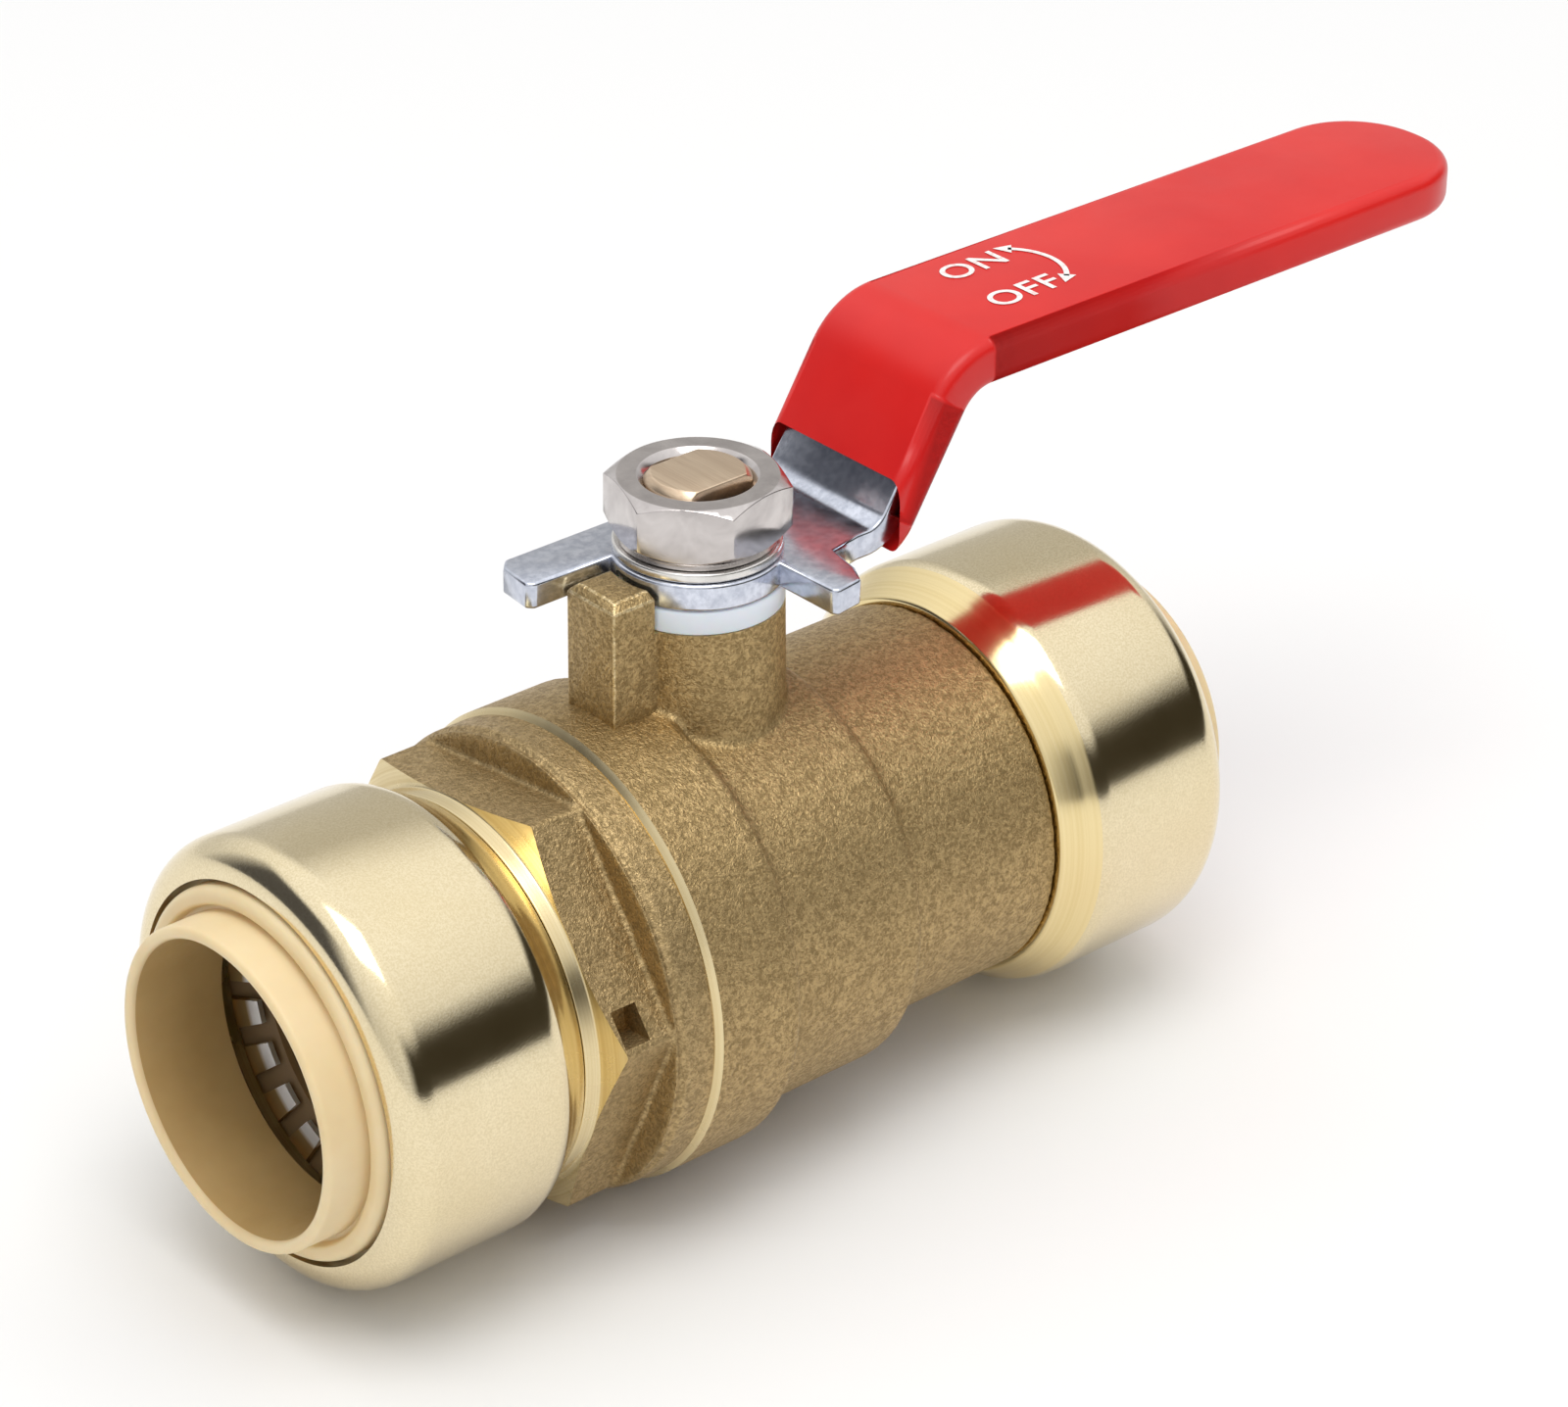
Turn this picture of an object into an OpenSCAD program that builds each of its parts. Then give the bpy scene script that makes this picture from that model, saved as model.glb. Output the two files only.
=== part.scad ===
// Push-fit ball valve: a quarter-turn shutoff with a lever and two push-fit tube sockets.
// Millimetres. X runs along the pipe, from the inlet to the outlet, and Z points up the stem.
// The origin is on the pipe axis, at the mouth of the inlet's tube guide bore.

/* [Tube and sockets] */
// Outside diameter of the tube that the valve takes
tube_d = 22.2; // [15:0.1:30]
// Length of each guide bore, from the tube stop to the seal
guide_length = 11.5; // [6:0.1:15]
// Length of the nose that stands out of each casing
nose_length = 3.6; // [2.5:0.1:6]

/* [Casings and collars] */
// Length of each casing along the pipe
casing_length = 16.7; // [14:0.1:24]
// Wall thickness of the push-fit casings
casing_wall = 0.95; // [0.6:0.05:1.6]
// Radius of the rounding at the mouth of each casing
casing_round = 3.2; // [2:0.1:4]
// Distance that a release collar moves inwards
collar_travel = 2; // [1:0.1:3]
// Number of teeth on each grab ring
tooth_count = 22; // [12:1:36]

/* [Ball and body] */
// Diameter of the waterway through the ball
port_d = 18; // [12:0.1:22]
// Thickness of the ball between its waterway and its outside
ball_shell = 4.5; // [3.5:0.1:6]
// Wall of the body round the ball's cavity
barrel_wall = 4.2; // [3:0.1:7]
// Wall of the body round each guide bore
neck_wall = 3.65; // [2.5:0.05:5]
// Length of the hexagon along the pipe
hex_length = 5.5; // [5:0.1:12]
// Turn of the hexagon about the pipe
hex_turn = 7; // [0:1:59]

/* [Stem and tower] */
// Height of the tower above the barrel beside it
tower_height = 7.8; // [6:0.1:14]
// Wall of the tower round the stem
tower_wall = 1.4; // [1.2:0.1:3]
// Radius of the stem where it runs in the tower
stem_r = 4.7; // [4.2:0.1:6]
// Thickness of the white bearing washer
bearing_t = 1.9; // [1:0.1:3]

/* [Lever] */
// Distance from the stem axis to the tip of the grip
lever_reach = 75.2; // [55:0.1:110]
// Height that the lever climbs from the nut plate to the grip
lever_rise = 11.4; // [6:0.1:20]
// Slope of the climbing stretch
lever_slope = 58; // [30:1:60]
// Thickness of the steel plate
plate_t = 2.1; // [1.5:0.1:3]
// Width of the steel lever inside the grip
lever_w = 12.6; // [9:0.1:13]
// Wall thickness of the dipped grip
sleeve_wall = 0.85; // [0.5:0.05:1.5]
// Distance across the flats of the handle nut
nut_af = 12; // [11:0.1:15]
// Height of the handle nut
nut_h = 4.9; // [3:0.1:7]

/* [Hidden] */

$fn = 96;
slide_gap = 0.3;
inlet = -1;
outlet = 1;

// Radii of the sockets, from the tube outwards
tube_r = tube_d / 2;
guide_r = tube_r + 0.15;
collar_bore_r = tube_r + 0.22;
nose_r = collar_bore_r + 1;
seal_section = 1.45;
seal_inner_r = tube_r + 0.25;
seal_outer_r = seal_inner_r + 2 * seal_section;
casing_r = tube_r + 6.15;
casing_inner_r = casing_r - casing_wall;
lip_r = casing_r - 2.65;
neck_r = guide_r + neck_wall;
rear_r = neck_r + 0.35;
spigot_root_r = rear_r - casing_wall;
backing_bore_r = nose_r + 0.45;

// Ball, seats and cavity
port_r = port_d / 2;
ball_r = port_r + ball_shell;
cavity_r = ball_r + 0.7;
seat_gap = 0.25;
seat_outer_r = ball_r - 0.5;
seat_inner_r = port_r + 0.2;
seat_t = 5;
seat_back_u = ball_r - 1.3;
seat_face_u = seat_back_u - seat_t;
pocket_u = seat_face_u + 1.3;
waterway_r = port_r + 0.2;
thread_r = cavity_r + 1.2;
seal_ring_t = 0.8;
seat_wall = 1.5;

// Head of the stem, in its pocket under the tower
stem_head_r = stem_r + 1.1;
head_pocket_r = stem_head_r + slide_gap;
thread_end_u = max(seat_face_u + 0.3, head_pocket_r + seal_ring_t + 0.4);

// Hexagon, flange and barrel
hex_flat_r = max(cavity_r + 1.1, neck_r + 0.4);
hex_corner_r = hex_flat_r / cos(30);
barrel_r = max(cavity_r + barrel_wall, hex_corner_r + 0.7);
barrel_two_r = barrel_r - 1.5;
flange_r = barrel_r - 0.4;
flange_t = 3.3;
ramp_l = 0.4;
cone_tip_r = hex_flat_r - 1.5;
cone_l = 1.65;
notch_w = 2.4;
notch_l = 2.1;
notch_depth = 3.1;
notch_side = 0.5;

// Stations along the pipe, counted outwards from the stem axis
joint_u = seat_back_u + 1.4;
ramp_u = joint_u + flange_t;
hex_front_u = ramp_u + hex_length;
cone_root_u = hex_front_u - cone_l;
notch_u = hex_front_u - 3.5;
casing_rear_u = hex_front_u + 0.8;
rear_cone_l = 3.2;
casing_shoulder_u = casing_rear_u + rear_cone_l;
lip_u = casing_rear_u + casing_length;
nose_u = lip_u + nose_length;
flange_outer_u = lip_u - 1.8;
flange_inner_u = flange_outer_u - 1.2;
grab_t = 0.5;
backing_t = 0.8;
backing_u = flange_inner_u - collar_travel - slide_gap - backing_t;
tooth_root_u = backing_u - grab_t;
guard_t = 2.4;
guard_u = tooth_root_u - guard_t;
spigot_end_u = guard_u + 1.8;
seal_u = guard_u - seal_section;
guide_end_u = seal_u - seal_section;
stop_u = guide_end_u - guide_length;
collar_end_u = tooth_root_u + collar_travel + 0.1;
step_one_x = -5.2;
step_two_x = neck_r < seat_outer_r + seat_wall ? seat_back_u + seat_wall + 0.4 : pocket_u - 0.2;
neck_end_x = casing_rear_u - 0.1;

// Grab ring teeth
tooth_root_r = nose_r + 1.3;
tooth_tip_r = collar_bore_r + 0.1;
tooth_drop = 1.15;
tooth_t = 0.35;
tooth_slot_w = 1.5;

// Stem and tower
tower_top = barrel_two_r + tower_height;
tower_bore_r = stem_r + slide_gap;
tower_r = tower_bore_r + tower_wall;
gland_r = tower_r - 0.8;
gland_depth = 1.6;
stem_head_bottom = ball_r + 1;
stem_head_t = 1.2;
thrust_t = 0.8;
head_pocket_top = stem_head_bottom + stem_head_t + thrust_t + 0.05;
tang_t = 3.4;
tang_w = 8;
slot_gap = 0.15;
slot_bottom = port_r + 0.9;
tang_bottom = slot_bottom + 0.3;
o_ring_section = 0.9;
o_ring_major_r = stem_r - 0.7;
groove_r = o_ring_major_r - o_ring_section;
groove_h = 2 * o_ring_section + 0.1;
o_ring_low_z = head_pocket_top + 1.9;
o_ring_high_z = o_ring_low_z + 2.9;

// Stop post on the body
post_w = 5.3;
post_outer_x = tower_r + 3.65;
post_inner_x = tower_r + 0.4;
post_chamfer = 0.9;

// Lever stack above the tower
bearing_top = tower_top + bearing_t;
plate_bottom = bearing_top + 0.05;
plate_top = plate_bottom + plate_t;
plate_mid = plate_bottom + plate_t / 2;
lock_t = 0.9;
lock_r = nut_af / 2 + 0.25;
nut_seat_h = 0.9;
nut_bottom = plate_top + lock_t;
nut_top = nut_bottom + nut_h;
nut_turn = 11;
thread_top_r = 3.95;
stem_top = nut_top + 0.25;
flat_half = 2.7;
post_top = plate_top - 0.7;

// Lever outline, seen from above
ear_gap = 0.2;
ear_edge = post_w / 2 + ear_gap;
long_ear = post_outer_x + 3.25;
long_ear_w = 4.35;
short_ear = post_outer_x + 1.75;
short_ear_w = 3.35;
tab_r = tower_r + 0.05;
ear_root = tab_r - 0.95;

// Lever bends
bend_one_r = 3;
bend_two_r = 5;
bend_one_x = nut_af / 2 / cos(30) + 5.7;
bend_one_cut = bend_one_r * tan(lever_slope / 2);
bend_two_cut = bend_two_r * tan(lever_slope / 2);
slope_run = lever_rise / tan(lever_slope);
bend_two_x = bend_one_x + slope_run;
grip_z = plate_mid + lever_rise;
grip_w = lever_w + 2 * sleeve_wall;
grip_t = plate_t + 2 * sleeve_wall;
sleeve_x = bend_one_x + 0.6;
bend_steps = 10;

// Places what is drawn round Z on the pipe axis, with its +Z pointing out of one end.
module on_pipe(side) {
    translate([guide_end_u, 0, 0])
        rotate([0, side * 90, 0])
            children();
}

// Places what is drawn at the crossing of the pipe and stem axes.
module at_stem() {
    translate([guide_end_u, 0, 0])
        children();
}

// A ring with a square section, from one station to another.
module ring(inner, outer, from, to) {
    translate([0, 0, from])
        difference() {
            cylinder(r = outer, h = to - from);
            translate([0, 0, -1])
                cylinder(r = inner, h = to - from + 2);
        }
}

// A ring with a round section.
module o_ring(major, section) {
    rotate_extrude()
        translate([major, 0])
            circle(r = section, $fn = 48);
}

// Filled side of a casing: its rear cone, barrel and rounded mouth.
module casing_outline(radius, round, rear, front) {
    polygon([
        [0, casing_rear_u],
        [rear, casing_rear_u],
        [radius, casing_shoulder_u],
        [radius, front - round],
        [radius - round, front],
        [0, front]
    ]);
    translate([radius - round, front - round])
        circle(r = round, $fn = 64);
}

module casing(side) {
    on_pipe(side)
        rotate_extrude()
            difference() {
                casing_outline(casing_r, casing_round, rear_r, lip_u);
                casing_outline(casing_inner_r, casing_round - casing_wall,
                    spigot_root_r, lip_u - casing_wall);
                translate([0, lip_u - casing_round])
                    square([lip_r, 2 * casing_round]);
            }
}

module inlet_casing() {
    color([0.86, 0.76, 0.50])
        casing(inlet);
}

module outlet_casing() {
    color([0.86, 0.76, 0.50])
        casing(outlet);
}

// Spigot that carries a push-fit cartridge, as a solid side profile.
module spigot_outline() {
    polygon([
        [0, stop_u - 1],
        [spigot_root_r, stop_u - 1],
        [spigot_root_r, casing_rear_u],
        [casing_inner_r, casing_shoulder_u],
        [casing_inner_r, spigot_end_u],
        [0, spigot_end_u]
    ]);
}

// Waterway, guide bore and seal pocket of a push-fit socket.
module socket_bore() {
    translate([0, 0, seat_back_u - 1])
        cylinder(r = waterway_r, h = stop_u - seat_back_u + 2);
    translate([0, 0, stop_u])
        cylinder(r = guide_r, h = spigot_end_u);
    translate([0, 0, guide_end_u])
        cylinder(r = seal_outer_r, h = spigot_end_u);
}

module tower() {
    cylinder(r = tower_r, h = tower_top);
    cylinder(r1 = tower_r + 2.6, r2 = tower_r, h = barrel_two_r + 1.2);
}

module stop_post() {
    difference() {
        translate([-post_outer_x, -post_w / 2, 0])
            cube([post_outer_x - post_inner_x + 1.4, post_w, post_top]);
        translate([-post_inner_x, -post_w, tower_top])
            cube([10, 2 * post_w, 10]);
        translate([-post_outer_x, 0, post_top])
            rotate([0, 45, 0])
                cube([post_chamfer, 2 * post_w, post_chamfer], center = true);
        translate([-post_outer_x, -post_w / 2, post_top])
            rotate([45, 0, 0])
                cube([4 * post_w, post_chamfer, post_chamfer], center = true);
    }
}

module body_shell() {
    rotate([0, 90, 0])
        rotate_extrude()
            polygon([
                [0, -joint_u],
                [barrel_r - 0.3, -joint_u],
                [barrel_r, -joint_u + 0.3],
                [barrel_r, step_one_x - 1],
                [barrel_two_r, step_one_x + 0.4],
                [barrel_two_r, step_two_x - 1.2],
                [neck_r, step_two_x + 0.4],
                [neck_r, neck_end_x],
                [0, neck_end_x]
            ]);
    rotate([0, 90, 0])
        rotate_extrude()
            spigot_outline();
}

module valve_body() {
    color([0.62, 0.50, 0.30])
        at_stem()
            difference() {
                union() {
                    body_shell();
                    tower();
                    stop_post();
                }
                rotate([0, -90, 0])
                    translate([0, 0, thread_end_u - seal_ring_t])
                        cylinder(r = thread_r, h = joint_u);
                rotate([0, 90, 0])
                    translate([0, 0, -joint_u])
                        cylinder(r = cavity_r, h = joint_u + pocket_u);
                rotate([0, 90, 0])
                    cylinder(r = seat_outer_r, h = seat_back_u);
                rotate([0, 90, 0])
                    socket_bore();
                cylinder(r = tower_bore_r, h = tower_top + 1);
                cylinder(r = head_pocket_r, h = head_pocket_top);
                translate([0, 0, tower_top - gland_depth])
                    cylinder(r = gland_r, h = gland_depth + 1);
            }
}

// Hexagon cut back by a steep cone at its front, with a small root where it meets the flange.
module adapter_hex() {
    intersection() {
        rotate([0, 0, 90 + hex_turn])
            translate([0, 0, ramp_u - 1])
                cylinder(r = hex_corner_r, h = hex_front_u - ramp_u + 2, $fn = 6);
        rotate_extrude()
            polygon([
                [0, ramp_u - 1],
                [hex_corner_r + 1, ramp_u - 1],
                [hex_corner_r + 1, cone_root_u],
                [cone_tip_r, hex_front_u],
                [0, hex_front_u]
            ]);
    }
    translate([0, 0, ramp_u])
        cylinder(r1 = hex_flat_r + 0.2, r2 = hex_flat_r - 0.2, h = ramp_l);
}

module adapter_profile() {
    polygon([
        [0, thread_end_u],
        [thread_r, thread_end_u],
        [thread_r, joint_u],
        [flange_r, joint_u],
        [flange_r, ramp_u - 0.6],
        [flange_r - 0.45, ramp_u - 0.35],
        [flange_r - 0.45, ramp_u - 0.15],
        [flange_r, ramp_u],
        [hex_flat_r - 0.4, ramp_u],
        [hex_flat_r - 0.4, cone_root_u],
        [rear_r, cone_root_u],
        [rear_r, casing_rear_u - 0.1],
        [spigot_root_r, casing_rear_u - 0.1],
        [spigot_root_r, casing_rear_u],
        [0, casing_rear_u]
    ]);
}

module end_adapter() {
    color([0.66, 0.54, 0.33])
        on_pipe(inlet)
            difference() {
                union() {
                    rotate_extrude()
                        adapter_profile();
                    adapter_hex();
                    rotate_extrude()
                        spigot_outline();
                }
                translate([0, 0, thread_end_u - 1])
                    cylinder(r = seat_outer_r, h = seat_back_u - thread_end_u + 1);
                socket_bore();
                rotate([0, 0, hex_turn - 90])
                    translate([hex_corner_r - notch_depth, notch_side, notch_u])
                        cube([2 * notch_depth, notch_w, notch_l]);
            }
}

module adapter_seal() {
    color([0.95, 0.95, 0.92])
        on_pipe(inlet)
            ring(cavity_r, thread_r, thread_end_u - seal_ring_t, thread_end_u);
}

module seat(side) {
    color([0.96, 0.96, 0.94])
        on_pipe(side)
            difference() {
                ring(seat_inner_r, seat_outer_r, seat_face_u, seat_back_u);
                sphere(r = ball_r + seat_gap, $fn = 128);
            }
}

module inlet_seat() {
    seat(inlet);
}

module outlet_seat() {
    seat(outlet);
}

module seal(side) {
    color([0.05, 0.05, 0.05])
        on_pipe(side)
            translate([0, 0, seal_u])
                o_ring(seal_inner_r + seal_section, seal_section);
}

module inlet_o_ring() {
    seal(inlet);
}

module outlet_o_ring() {
    seal(outlet);
}

// Guard between the O-ring and the teeth, dished to leave them room.
module seal_guard(side) {
    color([0.90, 0.88, 0.80])
        on_pipe(side)
            rotate_extrude()
                polygon([
                    [seal_inner_r, guard_u],
                    [seal_outer_r, guard_u],
                    [seal_outer_r, spigot_end_u],
                    [casing_inner_r, spigot_end_u],
                    [casing_inner_r, tooth_root_u],
                    [tooth_root_r + 0.2, tooth_root_u],
                    [seal_inner_r, tooth_root_u - tooth_drop - 0.7]
                ]);
}

module inlet_seal_guard() {
    seal_guard(inlet);
}

module outlet_seal_guard() {
    seal_guard(outlet);
}

// Steel ring whose teeth lean inwards and grip the tube.
module grab_ring(side) {
    color([0.78, 0.76, 0.72])
        on_pipe(side)
            difference() {
                rotate_extrude()
                    polygon([
                        [casing_inner_r, tooth_root_u],
                        [casing_inner_r, tooth_root_u + grab_t],
                        [tooth_root_r, tooth_root_u + grab_t],
                        [tooth_tip_r, tooth_root_u + tooth_t - tooth_drop + 0.05],
                        [tooth_tip_r, tooth_root_u - tooth_drop],
                        [tooth_root_r + 0.2, tooth_root_u]
                    ]);
                for (i = [0 : tooth_count - 1])
                    rotate([0, 0, i * 360 / tooth_count])
                        translate([tooth_tip_r - 1, -tooth_slot_w / 2, tooth_root_u - 3])
                            cube([tooth_root_r - tooth_tip_r + 1, tooth_slot_w, 5]);
            }
}

module inlet_grab_ring() {
    grab_ring(inlet);
}

module outlet_grab_ring() {
    grab_ring(outlet);
}

// Brass ring that backs the grab ring and guides the collar.
module backing_ring(side) {
    color([0.80, 0.66, 0.38])
        on_pipe(side)
            ring(backing_bore_r, casing_inner_r, backing_u, backing_u + backing_t);
}

module inlet_backing_ring() {
    backing_ring(inlet);
}

module outlet_backing_ring() {
    backing_ring(outlet);
}

// Release collar: nose, shoulder inside the casing's mouth, hidden flange and inner tube.
module collar(side) {
    nose_round = 0.48;
    shoulder_r = lip_r - slide_gap;
    shoulder_u = lip_u + 0.5;
    shoulder_round = 0.7;
    hidden_r = casing_inner_r - 0.8;
    color([0.90, 0.80, 0.62])
        on_pipe(side)
            rotate_extrude()
                difference() {
                    union() {
                        translate([collar_bore_r, collar_end_u])
                            square([nose_r - collar_bore_r, nose_u - collar_end_u - nose_round]);
                        translate([collar_bore_r + nose_round, nose_u - nose_round])
                            circle(r = nose_round, $fn = 32);
                        translate([nose_r - nose_round, nose_u - nose_round])
                            circle(r = nose_round, $fn = 32);
                        translate([nose_r - 0.1, flange_inner_u])
                            square([shoulder_r - shoulder_round - nose_r + 0.1, shoulder_u - flange_inner_u]);
                        translate([nose_r - 0.1, flange_inner_u])
                            square([shoulder_r - nose_r + 0.1, shoulder_u - flange_inner_u - shoulder_round]);
                        translate([shoulder_r - shoulder_round, shoulder_u - shoulder_round])
                            circle(r = shoulder_round, $fn = 32);
                        translate([nose_r - 0.1, flange_inner_u])
                            square([hidden_r - nose_r + 0.1, flange_outer_u - flange_inner_u]);
                    }
                    translate([nose_r, shoulder_u - 0.35])
                        square([0.4, 1]);
                }
}

module inlet_collar() {
    collar(inlet);
}

module outlet_collar() {
    collar(outlet);
}

module ball() {
    color([0.86, 0.87, 0.88])
        at_stem()
            difference() {
                sphere(r = ball_r, $fn = 128);
                rotate([0, 90, 0])
                    cylinder(r = port_r, h = 4 * ball_r, center = true);
                translate([-tang_t / 2 - slot_gap, -ball_r, slot_bottom])
                    cube([tang_t + 2 * slot_gap, 2 * ball_r, ball_r]);
            }
}

module stem() {
    color([0.74, 0.60, 0.36])
        at_stem()
            difference() {
                union() {
                    intersection() {
                        translate([-tang_t / 2, -tang_w / 2, tang_bottom])
                            cube([tang_t, tang_w, stem_head_bottom - tang_bottom + 0.5]);
                        cylinder(r = tang_w / 2, h = 2 * ball_r);
                    }
                    translate([0, 0, stem_head_bottom])
                        cylinder(r = stem_head_r, h = stem_head_t);
                    translate([0, 0, stem_head_bottom])
                        cylinder(r = stem_r, h = plate_bottom - stem_head_bottom - 0.1);
                    translate([0, 0, plate_bottom - 1])
                        intersection() {
                            union() {
                                cylinder(r = thread_top_r, h = stem_top - plate_bottom + 0.5);
                                translate([0, 0, stem_top - plate_bottom + 0.5])
                                    cylinder(r1 = thread_top_r, r2 = thread_top_r - 0.5, h = 0.5);
                            }
                            translate([-thread_top_r, -flat_half, 0])
                                cube([2 * thread_top_r, 2 * flat_half, 2 * stem_top]);
                        }
                }
                for (z = [o_ring_low_z, o_ring_high_z])
                    ring_groove(z);
            }
}

// Groove round the stem for one O-ring.
module ring_groove(z) {
    ring(groove_r, stem_r + 2, z - groove_h / 2, z + groove_h / 2);
}

module stem_o_ring_lower() {
    color([0.05, 0.05, 0.05])
        at_stem()
            translate([0, 0, o_ring_low_z])
                o_ring(o_ring_major_r, o_ring_section);
}

module stem_o_ring_upper() {
    color([0.05, 0.05, 0.05])
        at_stem()
            translate([0, 0, o_ring_high_z])
                o_ring(o_ring_major_r, o_ring_section);
}

module stem_thrust_washer() {
    color([0.96, 0.96, 0.94])
        at_stem()
            ring(tower_bore_r, head_pocket_r, head_pocket_top - thrust_t, head_pocket_top);
}

module bearing_washer() {
    color([0.93, 0.96, 0.99])
        at_stem() {
            ring(tower_bore_r, tower_r, tower_top, bearing_top);
            ring(tower_bore_r, gland_r, tower_top - gland_depth, tower_top + 0.1);
        }
}

// Outline of the flat part of the lever: the tab round the stem and its two stop ears.
module plate_outline() {
    flat_end = bend_one_x - bend_one_cut;
    circle(r = tab_r);
    polygon([
        [-ear_root, ear_edge],
        [-long_ear + 0.5, ear_edge],
        [-long_ear, ear_edge + 0.5],
        [-long_ear + 0.3, ear_edge + long_ear_w - 1],
        [-long_ear + 1.2, ear_edge + long_ear_w],
        [0, ear_edge + long_ear_w],
        [flat_end - 2, lever_w / 2],
        [flat_end, lever_w / 2],
        [flat_end, -lever_w / 2],
        [flat_end - 1, -lever_w / 2],
        [ear_edge + short_ear_w + 0.9, -lever_w / 2 - 0.6],
        [ear_edge + short_ear_w + 0.3, -short_ear + 2],
        [ear_edge + short_ear_w - 0.6, -short_ear + 0.3],
        [ear_edge + 0.4, -short_ear],
        [ear_edge, -short_ear + 0.4],
        [ear_edge, -ear_root],
        [0, 0]
    ]);
}

// Points along an arc about (cx, cz), from one angle to another.
function arc(cx, cz, r, from, to) = [
    for (i = [0 : bend_steps])
        let (a = from + (to - from) * i / bend_steps)
            [cx + r * cos(a), cz + r * sin(a)]
];

// Long edge of the climbing and level stretches, at a distance above their centre line.
function climb_edge(above) = concat(
    arc(bend_two_x + bend_two_cut, grip_z - bend_two_r, bend_two_r + above, 90 + lever_slope, 90),
    [[lever_reach + 1, grip_z + above]]
);

// The same edge with the lower bend in front of it.
function steel_edge(above) = concat(
    [[bend_one_x - bend_one_cut - 1, plate_mid + above]],
    arc(bend_one_x - bend_one_cut, plate_mid + bend_one_r, bend_one_r - above, -90, lever_slope - 90),
    climb_edge(above)
);

function reversed(points) = [for (i = [len(points) - 1 : -1 : 0]) points[i]];

// A bar with the side view that two edges enclose, and a rounded tip.
module lever_bar(lower, upper, w, tip) {
    intersection() {
        translate([0, w / 2, 0])
            rotate([90, 0, 0])
                linear_extrude(w)
                    polygon(concat(lower, reversed(upper)));
        linear_extrude(3 * grip_z) {
            translate([0, -w / 2])
                square([tip - w / 2, w]);
            translate([tip - w / 2, 0])
                circle(r = w / 2);
        }
    }
}

module steel_bar() {
    lever_bar(steel_edge(-plate_t / 2), steel_edge(plate_t / 2), lever_w, lever_reach - sleeve_wall);
}

module lever_plate() {
    color([0.75, 0.78, 0.82])
        at_stem()
            difference() {
                union() {
                    translate([0, 0, plate_bottom])
                        linear_extrude(plate_t)
                            plate_outline();
                    steel_bar();
                }
                translate([0, 0, plate_bottom - 1])
                    intersection() {
                        cylinder(r = thread_top_r, h = plate_t + 2);
                        translate([-thread_top_r, -flat_half, 0])
                            cube([2 * thread_top_r, 2 * flat_half, plate_t + 2]);
                    }
            }
}

module lever_grip() {
    color([0.80, 0.06, 0.08])
        at_stem()
            difference() {
                intersection() {
                    lever_bar(steel_edge(-grip_t / 2), steel_edge(grip_t / 2), grip_w, lever_reach);
                    translate([sleeve_x, -grip_w, 0])
                        cube([lever_reach, 2 * grip_w, 2 * grip_z]);
                }
                steel_bar();
            }
}

module lock_washer() {
    color([0.70, 0.70, 0.72])
        at_stem()
            ring(thread_top_r, lock_r, plate_top, plate_top + lock_t);
}

module handle_nut() {
    chamfer_r = nut_af / 2 + 0.1;
    seat_face_r = nut_af / 2 - 0.15;
    color([0.78, 0.74, 0.70])
        at_stem()
            translate([0, 0, nut_bottom])
                difference() {
                    intersection() {
                        rotate([0, 0, nut_turn])
                            cylinder(r = nut_af / 2 / cos(30), h = nut_h, $fn = 6);
                        rotate_extrude()
                            polygon([
                                [0, 0],
                                [seat_face_r, 0],
                                [seat_face_r, nut_seat_h * 0.45],
                                [chamfer_r - 0.2, nut_seat_h * 0.55],
                                [chamfer_r + 1.1, nut_seat_h + 0.6],
                                [chamfer_r + 1.1, nut_h - 0.7],
                                [chamfer_r - 0.2, nut_h],
                                [0, nut_h]
                            ]);
                    }
                    translate([0, 0, -1])
                        cylinder(r = thread_top_r, h = nut_h + 2);
                    translate([0, 0, nut_h - 0.5])
                        cylinder(r1 = thread_top_r, r2 = thread_top_r + 0.55, h = 0.55);
                }
}

valve_body();
end_adapter();
adapter_seal();
inlet_seat();
outlet_seat();
inlet_casing();
outlet_casing();
inlet_grab_ring();
outlet_grab_ring();
inlet_backing_ring();
outlet_backing_ring();
inlet_o_ring();
outlet_o_ring();
inlet_seal_guard();
outlet_seal_guard();
stem_thrust_washer();
bearing_washer();
stem_o_ring_lower();
stem_o_ring_upper();
ball();
stem();
lever_plate();
lever_grip();
lock_washer();
handle_nut();
inlet_collar();
outlet_collar();
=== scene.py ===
"""Push-fit ball valve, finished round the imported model: a cast brass body and end adapter, two
push-fit casings with release collars, and a steel lever in a red dipped grip. Shapes are made in
millimetres and scaled to metres as each piece is finished."""
import math
import bmesh
import bpy
from mathutils import Matrix, Quaternion, Vector


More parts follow.
